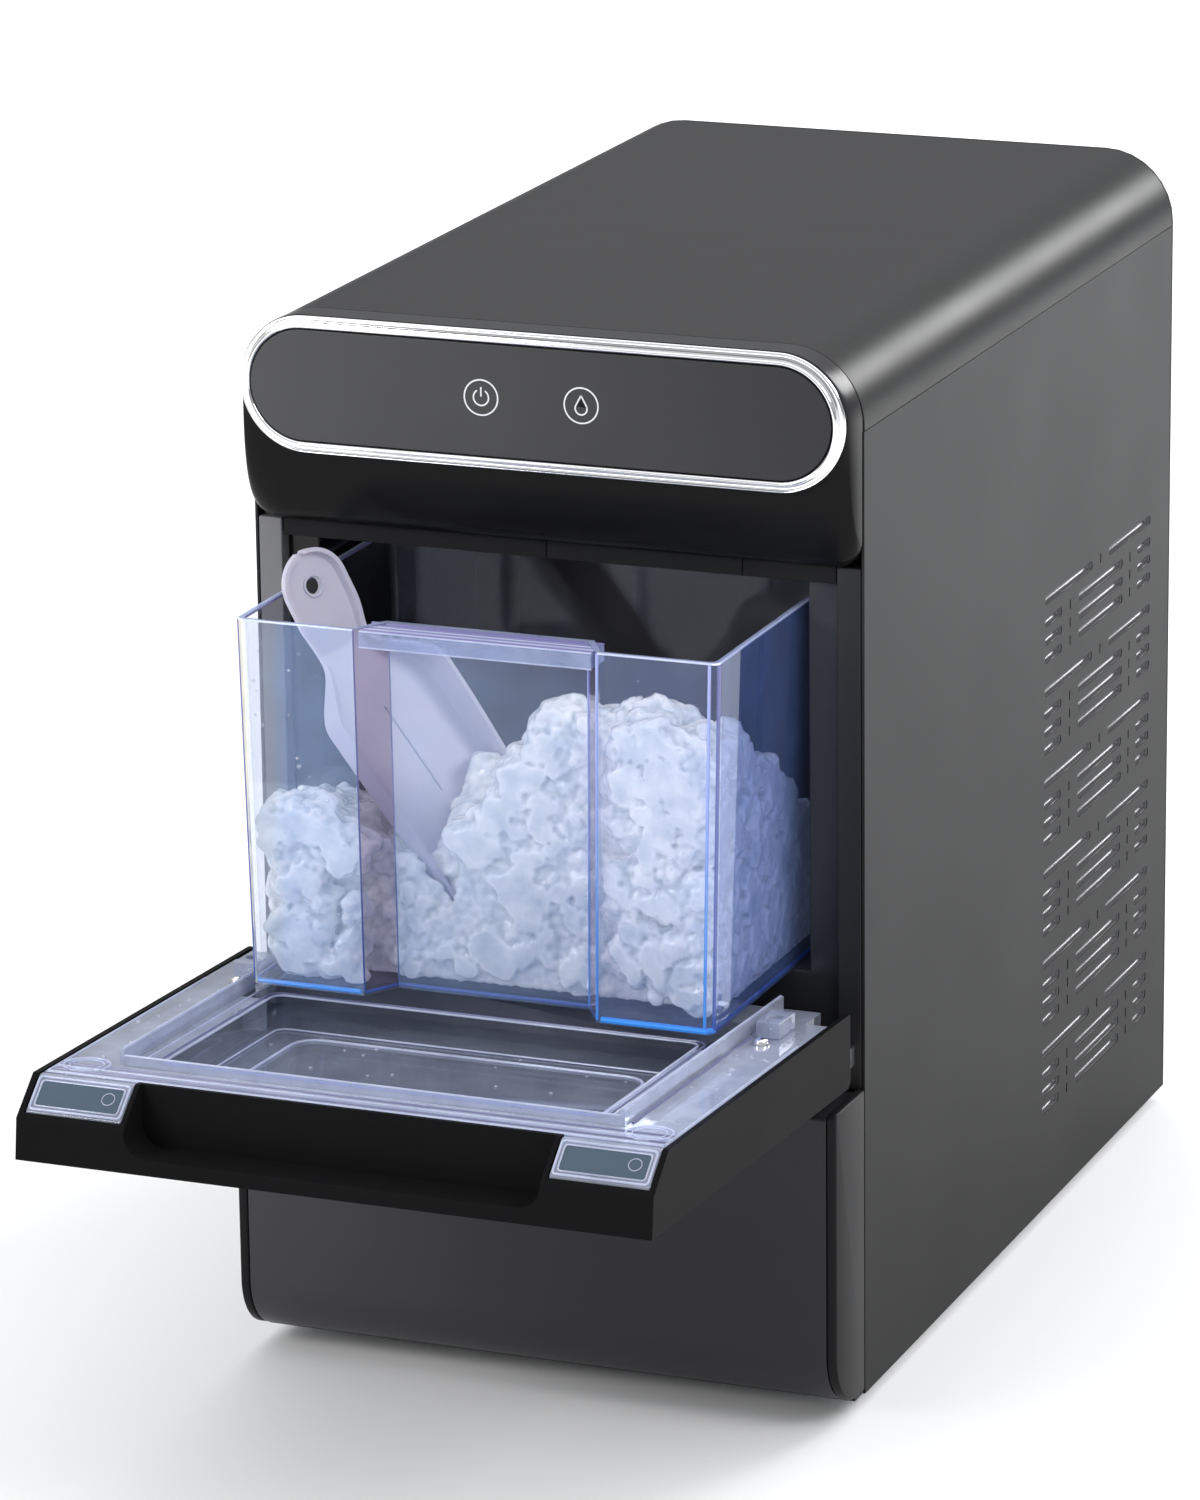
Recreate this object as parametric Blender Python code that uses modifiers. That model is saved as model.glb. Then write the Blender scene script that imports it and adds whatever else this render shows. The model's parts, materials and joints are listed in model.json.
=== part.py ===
"""Countertop nugget ice maker, with its door let down, its ice bin pulled out and a scoop in the ice.

Metres, +Z up, the front towards -Y. Most pieces are placed in the cabinet's own frame: X = 0 on the middle,
Y = 0 on the front plane of the posts, Z = 0 on the underside of the side panels.
"""

import math

import bmesh
import bpy
from mathutils import Matrix, Vector

# Cabinet
WIDTH = 0.260
DEPTH = 0.403
HEIGHT = 0.431
HALF = WIDTH / 2
SHEET = 0.0012
GAP = 0.0003
SEAM_Z = 0.3986  # where the top cover meets the side panels
CORNER = 0.031  # radius of the top's long edges
FOOT_HEIGHT = 0.006
FOOT_INSET = 0.030
REAR_SKIN = 0.0015

# Front frame and cavity
POST_IN = 0.1185
POST_DEEP = 0.014
LEDGE_Z = 0.128  # top of the lower front panel
APRON_Z = 0.3435  # underside of the head
RAIL_Z = 0.336
FLANGE_Y = 0.006
MOUTH_HALF = 0.1045
FLOOR_Z = 0.1745
CAVITY_BACK = 0.166
WALL = 0.002

# Head
HEAD_FRONT = 0.013
RING_Z = 0.4030
RING_HALF = 0.128
RING_RADIUS = 0.028
RING_BAND = 0.0052
PANEL_OUT = 0.0035

# Lower front panel
PROUD = 0.034
TOE_RADIUS = 0.026
FACE_HALF = 0.1257

# Door: "a" runs from the hinge axis to the free edge, "t" up from the axis when the door is let down
HINGE_Y = -0.0286
HINGE_Z = 0.142
DOOR_RISE = math.radians(2.87)  # the open door stops this much above level
DOOR_HEEL = -0.012
HEEL_CLIP = 0.0026  # cut off the heel's lower corner, which swings past the cheeks
DOOR_TIP = 0.2037
DOOR_OUT = -0.0054
DOOR_IN = 0.025
DOOR_SKIN = 0.002
DOOR_SIDE_IN = 0.1276
NOTCH_HALF = 0.085
NOTCH_A = 0.186
LINER_TOP = 0.0245
LINER_PAN = 0.011

# Bin
BIN_FRONT_Y = -0.084
BIN_Z = 0.175
BIN_HEIGHT = 0.1495
BIN_DEEP = 0.150
BIN_TOP_HALF = 0.1012
BIN_FOOT_HALF = 0.0978
BIN_WALL = 0.0025
BAY_DEEP = 0.014
BAY_OUT = 0.051
BAY_IN = 0.042

# Scoop
SCOOP_TIP = Vector((-0.0041, -0.0345, 0.2060))
SCOOP_LEAN = math.radians(36.87)
SCOOP_TURN = math.radians(32)
BLADE_LONG = 0.120
BLADE_HALF = 0.0272
BLADE_HEEL = 0.100  # where the blade's sides start to draw in to the neck
BLADE_DEEP = 0.0165
SCOOP_LONG = 0.163
HANDLE_HALF = 0.0142
HANDLE_BEND = math.radians(17)
SCOOP_WALL = 0.002
SCOOP_TRAVEL = 0.024

# Side vents: rows of slots in groups, measured from the front plane and the foot of the panel
VENT_GROUPS = 6
VENT_TOP_Z = 0.2725
VENT_GROUP_STEP = 0.0403
VENT_ROWS = (0.0, 0.0098, 0.0178, 0.0257)
VENT_HIGH = 0.0044
VENT_LONG_ROW = ((0.226, 0.291), (0.314, 0.374))
VENT_SHORT_ROW = ((0.226, 0.249), (0.272, 0.334), (0.355, 0.374))

# Machinery
FAN_Y, FAN_Z, FAN_RADIUS = 0.300, 0.135, 0.052
BARREL_X, BARREL_Y, BARREL_Z = -0.078, 0.205, 0.205
BARREL_HIGH = 0.165
COMPRESSOR_AT = (-0.018, 0.318)
COMPRESSOR_RADIUS = 0.050

# Drain, the rearmost piece
DRAIN_X, DRAIN_Z = -0.098, 0.022
DRAIN_END = 0.408
CAP_THICK = 0.0035

FRONT_Y = HINGE_Y - DOOR_TIP * math.cos(DOOR_RISE) + DOOR_OUT * math.sin(DOOR_RISE)
MIDDLE_Y = (FRONT_Y + DRAIN_END + GAP + CAP_THICK) / 2

XZ = Matrix.Rotation(math.pi / 2, 4, "X")  # an outline's x, y go to X, Z; its thickness goes along Y
YZ = Matrix(((0, 0, 1, 0), (1, 0, 0, 0), (0, 1, 0, 0), (0, 0, 0, 1)))  # x, y go to Y, Z; thickness along X
XY = Matrix.Identity(4)


def clear_scene():
    for thing in list(bpy.data.objects):
        bpy.data.objects.remove(thing, do_unlink=True)


def collection(name):
    found = bpy.data.collections.new(name)
    bpy.context.scene.collection.children.link(found)
    return found


clear_scene()
PARTS = collection("ice_maker")
CUTTERS = collection("cutters")


def material(name, colour, roughness, metallic=0.0):
    made = bpy.data.materials.new(name)
    made.use_nodes = True
    shader = made.node_tree.nodes["Principled BSDF"]
    shader.inputs["Base Color"].default_value = (*colour, 1)
    shader.inputs["Roughness"].default_value = roughness
    shader.inputs["Metallic"].default_value = metallic
    return made


GRAPHITE = material("graphite_coat", (0.12, 0.12, 0.125), 0.42, 0.3)
PANEL_GREY = material("panel_grey", (0.08, 0.08, 0.085), 0.35, 0.2)
BLACK = material("black_plastic", (0.015, 0.015, 0.017), 0.3)
GLOSS = material("gloss_black", (0.008, 0.008, 0.009), 0.08)
CHROME = material("chrome", (0.85, 0.85, 0.86), 0.06, 1.0)
CLEAR = material("clear_plastic", (0.62, 0.68, 0.9), 0.05)
SMOKED = material("smoked_window", (0.04, 0.05, 0.07), 0.05)
SCOOP_WHITE = material("scoop_plastic", (0.78, 0.77, 0.85), 0.4)
ICE = material("ice", (0.85, 0.9, 0.95), 0.15)
RUBBER = material("rubber", (0.02, 0.02, 0.02), 0.8)
STEEL = material("steel", (0.55, 0.56, 0.58), 0.3, 1.0)
COPPER = material("copper", (0.72, 0.38, 0.22), 0.3, 1.0)
ALUMINIUM = material("aluminium", (0.75, 0.76, 0.78), 0.35, 1.0)
TANK = material("tank_plastic", (0.85, 0.87, 0.88), 0.4)
BOARD = material("circuit_board", (0.05, 0.25, 0.12), 0.5)


def empty(name, place, parent=None, turn=(0, 0, 0)):
    found = bpy.data.objects.new(name, None)
    PARTS.objects.link(found)
    found.parent = parent
    found.location = place
    found.rotation_euler = turn
    return found


CABINET = empty("cabinet_frame", (0, -MIDDLE_Y, FOOT_HEIGHT))
DOOR = empty("door_hinge_axis", (0, HINGE_Y, HINGE_Z), CABINET, (-DOOR_RISE, 0, 0))
BIN = empty("bin_slide_axis", (0, BIN_FRONT_Y, BIN_Z), CABINET)


def add(name, mesh, finish, parent=None, place=None):
    """A mesh as a named part, with its own finish, placed by a matrix in its parent's frame."""
    part = bpy.data.objects.new(name, mesh)
    PARTS.objects.link(part)
    part.parent = parent or CABINET
    if place is not None:
        part.matrix_basis = place
    mesh.materials.clear()
    mesh.materials.append(finish)
    return part


def mesh_from(name, build):
    """Runs build on a new bmesh and keeps the result."""
    shape = bmesh.new()
    build(shape)
    bmesh.ops.recalc_face_normals(shape, faces=shape.faces)
    mesh = bpy.data.meshes.new(name)
    shape.to_mesh(mesh)
    shape.free()
    return mesh


def box(name, low, high, finish=BLACK, parent=None, round_edges=0.0):
    """A box between two corners; its origin is its middle."""
    low, high = Vector(low), Vector(high)

    def build(shape):
        bmesh.ops.create_cube(shape, size=1.0)
        bmesh.ops.scale(shape, vec=high - low, verts=shape.verts)

    part = add(name, mesh_from(name, build), finish, parent, Matrix.Translation((low + high) / 2))
    if round_edges:
        soften(part, round_edges)
    return part


def rod(name, start, along, radius, length, finish=STEEL, parent=None, sides=24, tip_radius=None):
    """A cylinder or cone from a start point, along a direction."""
    along = Vector(along).normalized()

    def build(shape):
        bmesh.ops.create_cone(
            shape, cap_ends=True, segments=sides, depth=length,
            radius1=radius, radius2=radius if tip_radius is None else tip_radius,
        )
        bmesh.ops.translate(shape, verts=shape.verts, vec=(0, 0, length / 2))

    turn = along.to_track_quat("Z", "Y").to_matrix().to_4x4()
    part = add(name, mesh_from(name, build), finish, parent, Matrix.Translation(start) @ turn)
    smooth(part)
    return part


def outline(name, points, thickness, lie, middle=(0, 0, 0), finish=BLACK, parent=None, holes=()):
    """A flat outline as a filled 2D curve with thickness, made a mesh so that it can be cut."""
    curve = bpy.data.curves.new(name, "CURVE")
    curve.dimensions = "2D"
    curve.fill_mode = "BOTH"
    curve.extrude = thickness / 2
    for loop in (points, *holes):
        spline = curve.splines.new("POLY")
        spline.points.add(len(loop) - 1)
        for point, at in zip(spline.points, loop):
            point.co = (at[0], at[1], 0, 1)
        spline.use_cyclic_u = True
    return meshed(name, curve, lie, middle, finish, parent)


def meshed(name, curve, lie, middle, finish, parent):
    """A curve's evaluated mesh with its caps welded on, as a part."""
    guide = bpy.data.objects.new(name + "_curve", curve)
    CUTTERS.objects.link(guide)
    bpy.context.view_layer.update()
    mesh = bpy.data.meshes.new_from_object(guide.evaluated_get(bpy.context.evaluated_depsgraph_get()))
    bpy.data.objects.remove(guide)
    shape = bmesh.new()
    shape.from_mesh(mesh)
    bmesh.ops.remove_doubles(shape, verts=shape.verts, dist=1e-6)
    bmesh.ops.recalc_face_normals(shape, faces=shape.faces)
    shape.to_mesh(mesh)
    shape.free()
    return add(name, mesh, finish, parent, Matrix.Translation(middle) @ lie)


def turned(name, profile, place, finish, parent=None, sides=28):
    """A solid of revolution about Z from (radius, height) points, given from the top down."""
    mesh = bpy.data.meshes.new(name)
    mesh.from_pydata([(r, 0, z) for r, z in profile], [(i, i + 1) for i in range(len(profile) - 1)], [])
    part = add(name, mesh, finish, parent, place)
    screw = part.modifiers.new("turn", "SCREW")
    screw.steps = screw.render_steps = sides
    screw.use_merge_vertices = True
    screw.merge_threshold = 0.00001
    screw.use_smooth_shade = True
    return part


def pipe(name, points, radius, finish=COPPER, parent=None):
    """A round pipe through points, with its corners eased by a Catmull-Rom curve."""
    curve = bpy.data.curves.new(name, "CURVE")
    curve.dimensions = "3D"
    curve.bevel_depth = radius
    curve.bevel_resolution = 2
    curve.use_fill_caps = True
    route = eased([Vector(p) for p in points])
    spline = curve.splines.new("POLY")
    spline.points.add(len(route) - 1)
    for point, at in zip(spline.points, route):
        point.co = (*at, 1)
    part = bpy.data.objects.new(name, curve)
    PARTS.objects.link(part)
    part.parent = parent or CABINET
    curve.materials.append(finish)
    return part


def eased(points, between=3):
    """Points of a Catmull-Rom curve through the given ones."""
    ends = [points[0] * 2 - points[1], *points, points[-1] * 2 - points[-2]]
    route = []
    for i in range(1, len(ends) - 2):
        before, start, end, after = ends[i - 1:i + 3]
        for step in range(between):
            t = step / between
            route.append(0.5 * (
                2 * start + (end - before) * t
                + (2 * before - 5 * start + 4 * end - after) * t * t
                + (3 * start - before - 3 * end + after) * t ** 3
            ))
    return [*route, points[-1]]


def smooth(part):
    part.data.shade_smooth()
    part.data.set_sharp_from_angle(angle=math.radians(35))


def soften(part, width, segments=2, angle=40):
    bevel = part.modifiers.new("soft_edges", "BEVEL")
    bevel.width = width
    bevel.segments = segments
    bevel.limit_method = "ANGLE"
    bevel.angle_limit = math.radians(angle)


def as_tool(tool):
    if tool.name not in CUTTERS.objects:
        CUTTERS.objects.link(tool)
        PARTS.objects.unlink(tool)
    tool.hide_render = True
    tool.display_type = "WIRE"


def combine(part, tools, operation):
    for tool in tools:
        as_tool(tool)
        change = part.modifiers.new(tool.name, "BOOLEAN")
        change.operation = operation
        change.object = tool
    return part


def cut(part, *tools):
    return combine(part, tools, "DIFFERENCE")


def join(part, *tools):
    return combine(part, tools, "UNION")


def arc(middle, radius, start, end, steps):
    """Points of an arc, the angles in degrees, both ends included."""
    angles = [math.radians(start + (end - start) * i / steps) for i in range(steps + 1)]
    return [(middle[0] + radius * math.cos(a), middle[1] + radius * math.sin(a)) for a in angles]


def stadium(half_long, radius, middle_z, steps=12):
    """A slot shape with round ends, about X = 0."""
    reach = half_long - radius
    return arc((reach, middle_z), radius, -90, 90, steps) + arc((-reach, middle_z), radius, 90, 270, steps)


def rounded(low, high, radius, steps=3):
    """A rectangle with round corners."""
    (x0, y0), (x1, y1) = low, high
    r = radius
    return (
        arc((x1 - r, y0 + r), r, -90, 0, steps) + arc((x1 - r, y1 - r), r, 0, 90, steps)
        + arc((x0 + r, y1 - r), r, 90, 180, steps) + arc((x0 + r, y0 + r), r, 180, 270, steps)
    )


def arch(half, top, radius, foot, steps=8):
    """The cabinet's section: straight sides, round shoulders, flat top; drawn from right foot to left."""
    return [
        (half, foot),
        *arc((half - radius, top - radius), radius, 0, 90, steps),
        *arc((-half + radius, top - radius), radius, 90, 180, steps),
        (-half, foot),
    ]


# ---------------------------------------------------------------- cabinet shell


def vent_boxes(side):
    """One cutter holding all of a side panel's slots."""
    x = side * (HALF - SHEET / 2)

    def build(shape):
        for group in range(VENT_GROUPS):
            for row, drop in enumerate(VENT_ROWS):
                z = VENT_TOP_Z - group * VENT_GROUP_STEP - drop
                for start, end in VENT_SHORT_ROW if row else VENT_LONG_ROW:
                    made = bmesh.ops.create_cube(shape, size=1.0)["verts"]
                    bmesh.ops.scale(shape, vec=(SHEET * 4, end - start, VENT_HIGH), verts=made)
                    bmesh.ops.translate(shape, vec=(x, (start + end) / 2, z), verts=made)

    return add(f"cut_vents_{side}", mesh_from("vents", build), BLACK)


def side_panels():
    back = DEPTH - REAR_SKIN - GAP
    for side, name in ((-1, "left_side_panel"), (1, "right_side_panel")):
        low = (min(side * HALF, side * (HALF - SHEET)), 0, 0)
        high = (max(side * HALF, side * (HALF - SHEET)), back, SEAM_Z - GAP)
        cut(box(name, low, high, GRAPHITE), vent_boxes(side))


def top_cover():
    long = DEPTH - REAR_SKIN - 2 * GAP
    skin = 0.002
    shell = arch(HALF, HEIGHT, CORNER, SEAM_Z)
    shell += arch(HALF - skin, HEIGHT - skin, CORNER - skin, SEAM_Z)[::-1]
    smooth(outline("top_cover", shell, long, XZ, (0, GAP + long / 2, 0), GRAPHITE))


def rear_panel():
    points = arch(HALF, HEIGHT, CORNER, 0.0)
    panel = outline("rear_panel", points, REAR_SKIN, XZ, (0, DEPTH - REAR_SKIN / 2, 0), GRAPHITE)
    cut(panel, rear_slots())
    cut(panel, box("cut_inlet", (0.060, 0.39, 0.040), (0.090, 0.41, 0.062)))
    cut(panel, rod("cut_drain", (DRAIN_X, 0.39, DRAIN_Z), (0, 1, 0), 0.0085, 0.03))


def rear_slots():
    def build(shape):
        for row in range(9):
            for x in (-0.045, 0.045):
                made = bmesh.ops.create_cube(shape, size=1.0)["verts"]
                bmesh.ops.scale(shape, vec=(0.070, 0.02, 0.0045), verts=made)
                bmesh.ops.translate(shape, vec=(x, DEPTH, 0.215 + row * 0.012), verts=made)

    return add("cut_rear_slots", mesh_from("rear_slots", build), BLACK)


def base_and_feet():
    inside = HALF - SHEET - GAP
    back = DEPTH - REAR_SKIN - GAP
    pan = box("base_pan", (-inside, GAP, 0), (inside, back, 0.012), STEEL)
    cut(pan, box("cut_base", (-inside + 0.0015, 0.002, 0.002), (inside - 0.0015, back - 0.0015, 0.03)))
    foot = [(0, 0), (0.012, 0), (0.012, -0.0042), (0.0105, -FOOT_HEIGHT), (0, -FOOT_HEIGHT)]
    for x, side in ((-1, "left"), (1, "right")):
        for y, end in ((0.034, "front"), (DEPTH - FOOT_INSET, "rear")):
            place = Matrix.Translation((x * (HALF - FOOT_INSET), y, -GAP))
            profile = [(r, z + GAP if z == -FOOT_HEIGHT else z) for r, z in foot]
            turned(f"foot_{end}_{side}", profile, place, RUBBER, sides=20)


# ---------------------------------------------------------------- head and front frame


def head_section(y):
    """The head's outline at a distance y in front of the posts, drawing in towards the face."""
    out = y / HEAD_FRONT
    bulge = math.sqrt(max(0.0, 1 - out * out))
    foot = RING_Z - RING_RADIUS - (RING_Z - RING_RADIUS - APRON_Z) * bulge
    half = RING_HALF - 0.0005 + (HALF - RING_HALF) * bulge
    top = HEIGHT
    shoulder = RING_RADIUS - 0.001 + (CORNER - RING_RADIUS) * bulge
    toe = 0.011 + (RING_RADIUS - 0.002 - 0.011) * (1 - bulge)
    return (
        arc((half - toe, foot + toe), toe, -90, 0, 5)
        + arc((half - shoulder, top - shoulder), shoulder, 0, 90, 7)
        + arc((-half + shoulder, top - shoulder), shoulder, 90, 180, 7)
        + arc((-half + toe, foot + toe), toe, 180, 270, 5)
    )


def head_housing():
    """A loft of sections, hollow behind for the control board."""
    stations = [HEAD_FRONT * math.sin(math.radians(a)) for a in (0, 25, 45, 62, 76, 86, 90)]

    def build(shape):
        loops = []
        for y in stations:
            loops.append([shape.verts.new((x, -y - GAP, z)) for x, z in head_section(y)])
        count = len(loops[0])
        for near, far in zip(loops, loops[1:]):
            for i in range(count):
                j = (i + 1) % count
                shape.faces.new((near[i], near[j], far[j], far[i]))
        shape.faces.new(loops[0])
        shape.faces.new(loops[-1])

    head = add("head_housing", mesh_from("head_housing", build), BLACK)
    smooth(head)
    cut(head, box("cut_head", (-0.095, -0.009, 0.384), (0.095, 0.01, 0.424)))


def head_fittings():
    face = -HEAD_FRONT - 2 * GAP
    inner = RING_RADIUS - RING_BAND
    hole = stadium(RING_HALF - RING_BAND, inner, RING_Z)
    band = 0.0042
    outer = stadium(RING_HALF, RING_RADIUS, RING_Z)
    smooth(outline("trim_ring", outer, band, XZ, (0, face - band / 2, 0), CHROME, holes=(hole,)))
    plate = stadium(RING_HALF - RING_BAND - GAP, inner - GAP, RING_Z)
    outline("control_panel", plate, PANEL_OUT, XZ, (0, face - PANEL_OUT / 2, 0), PANEL_GREY)
    box("control_board", (-0.070, -0.0065, 0.388), (0.070, -0.0050, 0.420), BOARD)


def front_frame():
    outer = HALF - SHEET - GAP
    for side, name in ((-1, "left_post"), (1, "right_post")):
        x = sorted((side * POST_IN, side * outer))
        box(name, (x[0], 0, LEDGE_Z + 0.001), (x[1], POST_DEEP, APRON_Z - GAP), GRAPHITE)
    box("top_rail", (-POST_IN + GAP, 0.001, RAIL_Z), (POST_IN - GAP, FLANGE_Y - GAP, APRON_Z - GAP), GLOSS)


def cavity_liner():
    """The food-safe box that the bin stands in, with a flange round its mouth and an ice drop in its roof."""
    wall_x = MOUTH_HALF + WALL
    roof = RAIL_Z + WALL
    liner = box(
        "cavity_liner",
        (-wall_x, FLANGE_Y, FLOOR_Z - WALL),
        (wall_x, CAVITY_BACK + WALL, roof + WALL),
        GLOSS,
    )
    flange = box(
        "cavity_flange",
        (-POST_IN + GAP, FLANGE_Y, LEDGE_Z + 0.001),
        (POST_IN - GAP, FLANGE_Y + WALL, roof + WALL),
    )
    join(liner, flange)
    cut(liner, box("cut_mouth", (-MOUTH_HALF, -0.01, FLOOR_Z), (MOUTH_HALF, CAVITY_BACK, RAIL_Z + WALL)))
    cut(liner, box("cut_drop", (-0.096, 0.098, RAIL_Z - 0.01), (-0.046, 0.138, roof + 0.01)))
    sensor_x = MOUTH_HALF - GAP
    box("ice_level_sensor", (sensor_x - 0.003, 0.130, 0.300), (sensor_x, 0.146, 0.316), SMOKED, None, 0.0008)


def ice_chute():
    """A square spout from the barrel's head down through the cavity roof."""
    roof = RAIL_Z + 2 * WALL + GAP
    points = [(0.100, roof), (0.136, roof), (0.136, roof + 0.012)]
    points += [(0.196, 0.380), (0.196, 0.392), (0.100, 0.392)]
    x0, x1 = -0.094, -0.048
    chute = outline("ice_chute", points, x1 - x0, YZ, ((x0 + x1) / 2, 0, 0), BLACK)
    t = 0.0015
    inside = [
        (0.100 + t, roof - 0.01), (0.136 - t, roof - 0.01), (0.136 - t, roof + 0.0125),
        (0.210, 0.3865), (0.210, 0.392 - t), (0.100 + t, 0.392 - t),
    ]
    cut(chute, outline("cut_chute", inside, x1 - x0 - 2 * t, YZ, ((x0 + x1) / 2, 0, 0)))


def lower_front():
    """The front panel under the door, curved back at its foot, between two cheeks."""
    skin = 0.0022
    foot = (-PROUD + TOE_RADIUS, TOE_RADIUS + 0.002)
    outer = [(-GAP, LEDGE_Z), (-PROUD, LEDGE_Z), *arc(foot, TOE_RADIUS, 180, 270, 8)]
    inner = [
        (-GAP, LEDGE_Z - skin), (-PROUD + skin, LEDGE_Z - skin), *arc(foot, TOE_RADIUS - skin, 180, 270, 8)
    ]
    smooth(outline("lower_front_panel", outer + inner[::-1], 2 * FACE_HALF, YZ, (0, 0, 0), PANEL_GREY))
    thick = HALF - FACE_HALF - GAP
    cheek = [(-GAP, LEDGE_Z + 0.0015), *outer[1:], (-GAP, 0.002)]
    cheek[1] = (-PROUD, LEDGE_Z + 0.0015)
    for side, name in ((-1, "left_cheek"), (1, "right_cheek")):
        x = side * (HALF - thick / 2)
        outline(name, cheek, thick, YZ, (x, 0, 0), PANEL_GREY)
    box("toe_strip", (-HALF + 0.001, -0.0095, 0.0), (HALF - 0.001, -GAP, 0.0016), BLACK)


def hinge_arms():
    """Two arms in front of the posts carry the pins that the door turns on."""
    for side, name in ((-1, "left"), (1, "right")):
        x = sorted((side * 0.1195, side * 0.126))
        arm = box(f"hinge_arm_{name}", (x[0], -0.0302, 0.1395), (x[1], -GAP, 0.148), STEEL)
        start = (side * 0.118, HINGE_Y, HINGE_Z)
        cut(arm, rod(f"cut_arm_{name}", start, (side, 0, 0), 0.0023, 0.010, sides=16))
        pin = (side * 0.1200, HINGE_Y, HINGE_Z)
        rod(f"hinge_pin_{name}", pin, (side, 0, 0), 0.0017, 0.0092, STEEL, sides=16)


# ---------------------------------------------------------------- door


def door_outline(points, thickness, name, finish, middle_x=0.0):
    """An outline of (a, t) points, extruded across the door."""
    return outline(name, [(-a, t) for a, t in points], thickness, YZ, (middle_x, 0, 0), finish, DOOR)


def door_box(name, u, a, t, finish=BLACK, round_edges=0.0):
    """A box given by its spans across, along and up from the open door."""
    return box(name, (u[0], -a[1], t[0]), (u[1], -a[0], t[1]), finish, DOOR, round_edges)


def door_shell():
    side = [
        (DOOR_HEEL + HEEL_CLIP, DOOR_OUT),
        (DOOR_TIP, DOOR_OUT),
        (DOOR_TIP - 0.0012, 0.011),
        (0.1875, DOOR_IN),
        (DOOR_HEEL + 0.0018, DOOR_IN), (DOOR_HEEL, DOOR_OUT + HEEL_CLIP),
    ]
    shell = door_outline(side, 2 * HALF, "door_shell", BLACK)
    floor = DOOR_OUT + DOOR_SKIN
    far = 0.05
    hollow = NOTCH_A - DOOR_SKIN
    cut(shell, door_box("cut_door", (-DOOR_SIDE_IN, DOOR_SIDE_IN), (DOOR_HEEL + 0.002, hollow), (floor, far)))
    for s in (-1, 1):
        pocket = sorted((s * (NOTCH_HALF + 0.002), s * DOOR_SIDE_IN))
        cut(shell, door_box(f"cut_pocket_{s}", pocket, (hollow - 0.001, 0.2005), (floor, far)))
        heel = sorted((s * 0.118, s * DOOR_SIDE_IN))
        cut(shell, door_box(f"cut_heel_{s}", heel, (DOOR_HEEL - 0.01, DOOR_HEEL + 0.003), (floor, far)))
        hole = (s * (DOOR_SIDE_IN - 0.002), 0, 0)
        cut(shell, rod(f"cut_pivot_{s}", hole, (s, 0, 0), 0.0021, 0.0039, BLACK, DOOR, 16))
    notch = rounded((-NOTCH_HALF, 0.0), (NOTCH_HALF, 0.05), 0.009, 4)
    middle = (0, -(NOTCH_A + 0.03), 0.0005)
    cut(shell, outline("cut_notch", notch, 0.06, XZ, middle, BLACK, DOOR))
    window = rounded((-0.078, -0.152), (0.078, -0.034), 0.008)
    cut(shell, outline("cut_window", window, 0.01, XY, (0, 0, DOOR_OUT), BLACK, DOOR))
    pane = rounded((-0.084, -0.158), (0.084, -0.028), 0.010)
    outline("door_window", pane, 0.002, XY, (0, 0, floor + 0.001 + GAP), SMOKED, DOOR)


def door_liner():
    """The clear inner door: a raised frame round a pan, low near the heel so that the bin clears it."""
    side = DOOR_SIDE_IN - GAP
    under = LINER_PAN - 0.0025
    end = NOTCH_A - DOOR_SKIN - GAP
    liner = door_box("door_liner", (-side, side), (DOOR_HEEL + 0.0025, end), (under, LINER_TOP), CLEAR)
    cut(liner, door_box("cut_pan", (-0.091, 0.091), (0.05, 0.157), (LINER_PAN, 0.05)))
    cut(liner, door_box("cut_trough", (-0.1018, 0.1018), (0.018, 0.058), (LINER_PAN, 0.05)))
    top = LINER_TOP - 0.0025
    cut(liner, door_box("cut_under_front", (-0.1045, 0.1045), (0.160, end - 0.0025), (0.0, top)))
    for s in (-1, 1):
        lip = sorted((s * 0.1065, s * (side - 0.0025)))
        cut(liner, door_box(f"cut_under_{s}", lip, (0.010, end - 0.0025), (0.0, top)))
        heel = sorted((s * 0.118, s * (side + 0.01)))
        cut(liner, door_box(f"cut_liner_heel_{s}", heel, (-0.02, 0.008), (0.0, 0.05)))
        wall = sorted((s * 0.102, s * 0.104))
        join(liner, door_box(f"upstand_{s}", wall, (-0.005, 0.1655), (0.020, 0.031)))
    join(liner, door_box("upstand_front", (-0.1035, 0.1035), (0.1640, 0.1655), (0.020, 0.0285)))


def door_fittings():
    wedge = [(0.1846, 0.005), (0.1998, 0.005), (0.1998, 0.0132), (0.1873, 0.0246), (0.1846, 0.0246)]
    for side, name in ((-1, "left"), (1, "right")):
        inner, outer = NOTCH_HALF + 0.002 + GAP, DOOR_SIDE_IN - GAP
        middle = side * (inner + outer) / 2
        door_outline(wedge, outer - inner, f"door_corner_{name}", CLEAR, middle)
        disc = (side * 0.11565, -0.170, LINER_TOP - 0.0028 - 0.004)
        rod(f"door_magnet_{name}", disc, (0, 0, 1), 0.0088, 0.004, STEEL, DOOR, 28)
        u = sorted((side * 0.1068, side * 0.1165))
        stop = door_box(f"door_stop_{name}", u, (0.016, 0.034), (LINER_TOP + GAP, 0.0312), CLEAR)
        bore = (side * 0.1116, -0.025, 0.027)
        cut(stop, rod(f"cut_stop_{name}", bore, (0, 0, 1), 0.0032, 0.01, CLEAR, DOOR, 16))


# ---------------------------------------------------------------- bin, ice and scoop


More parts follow.
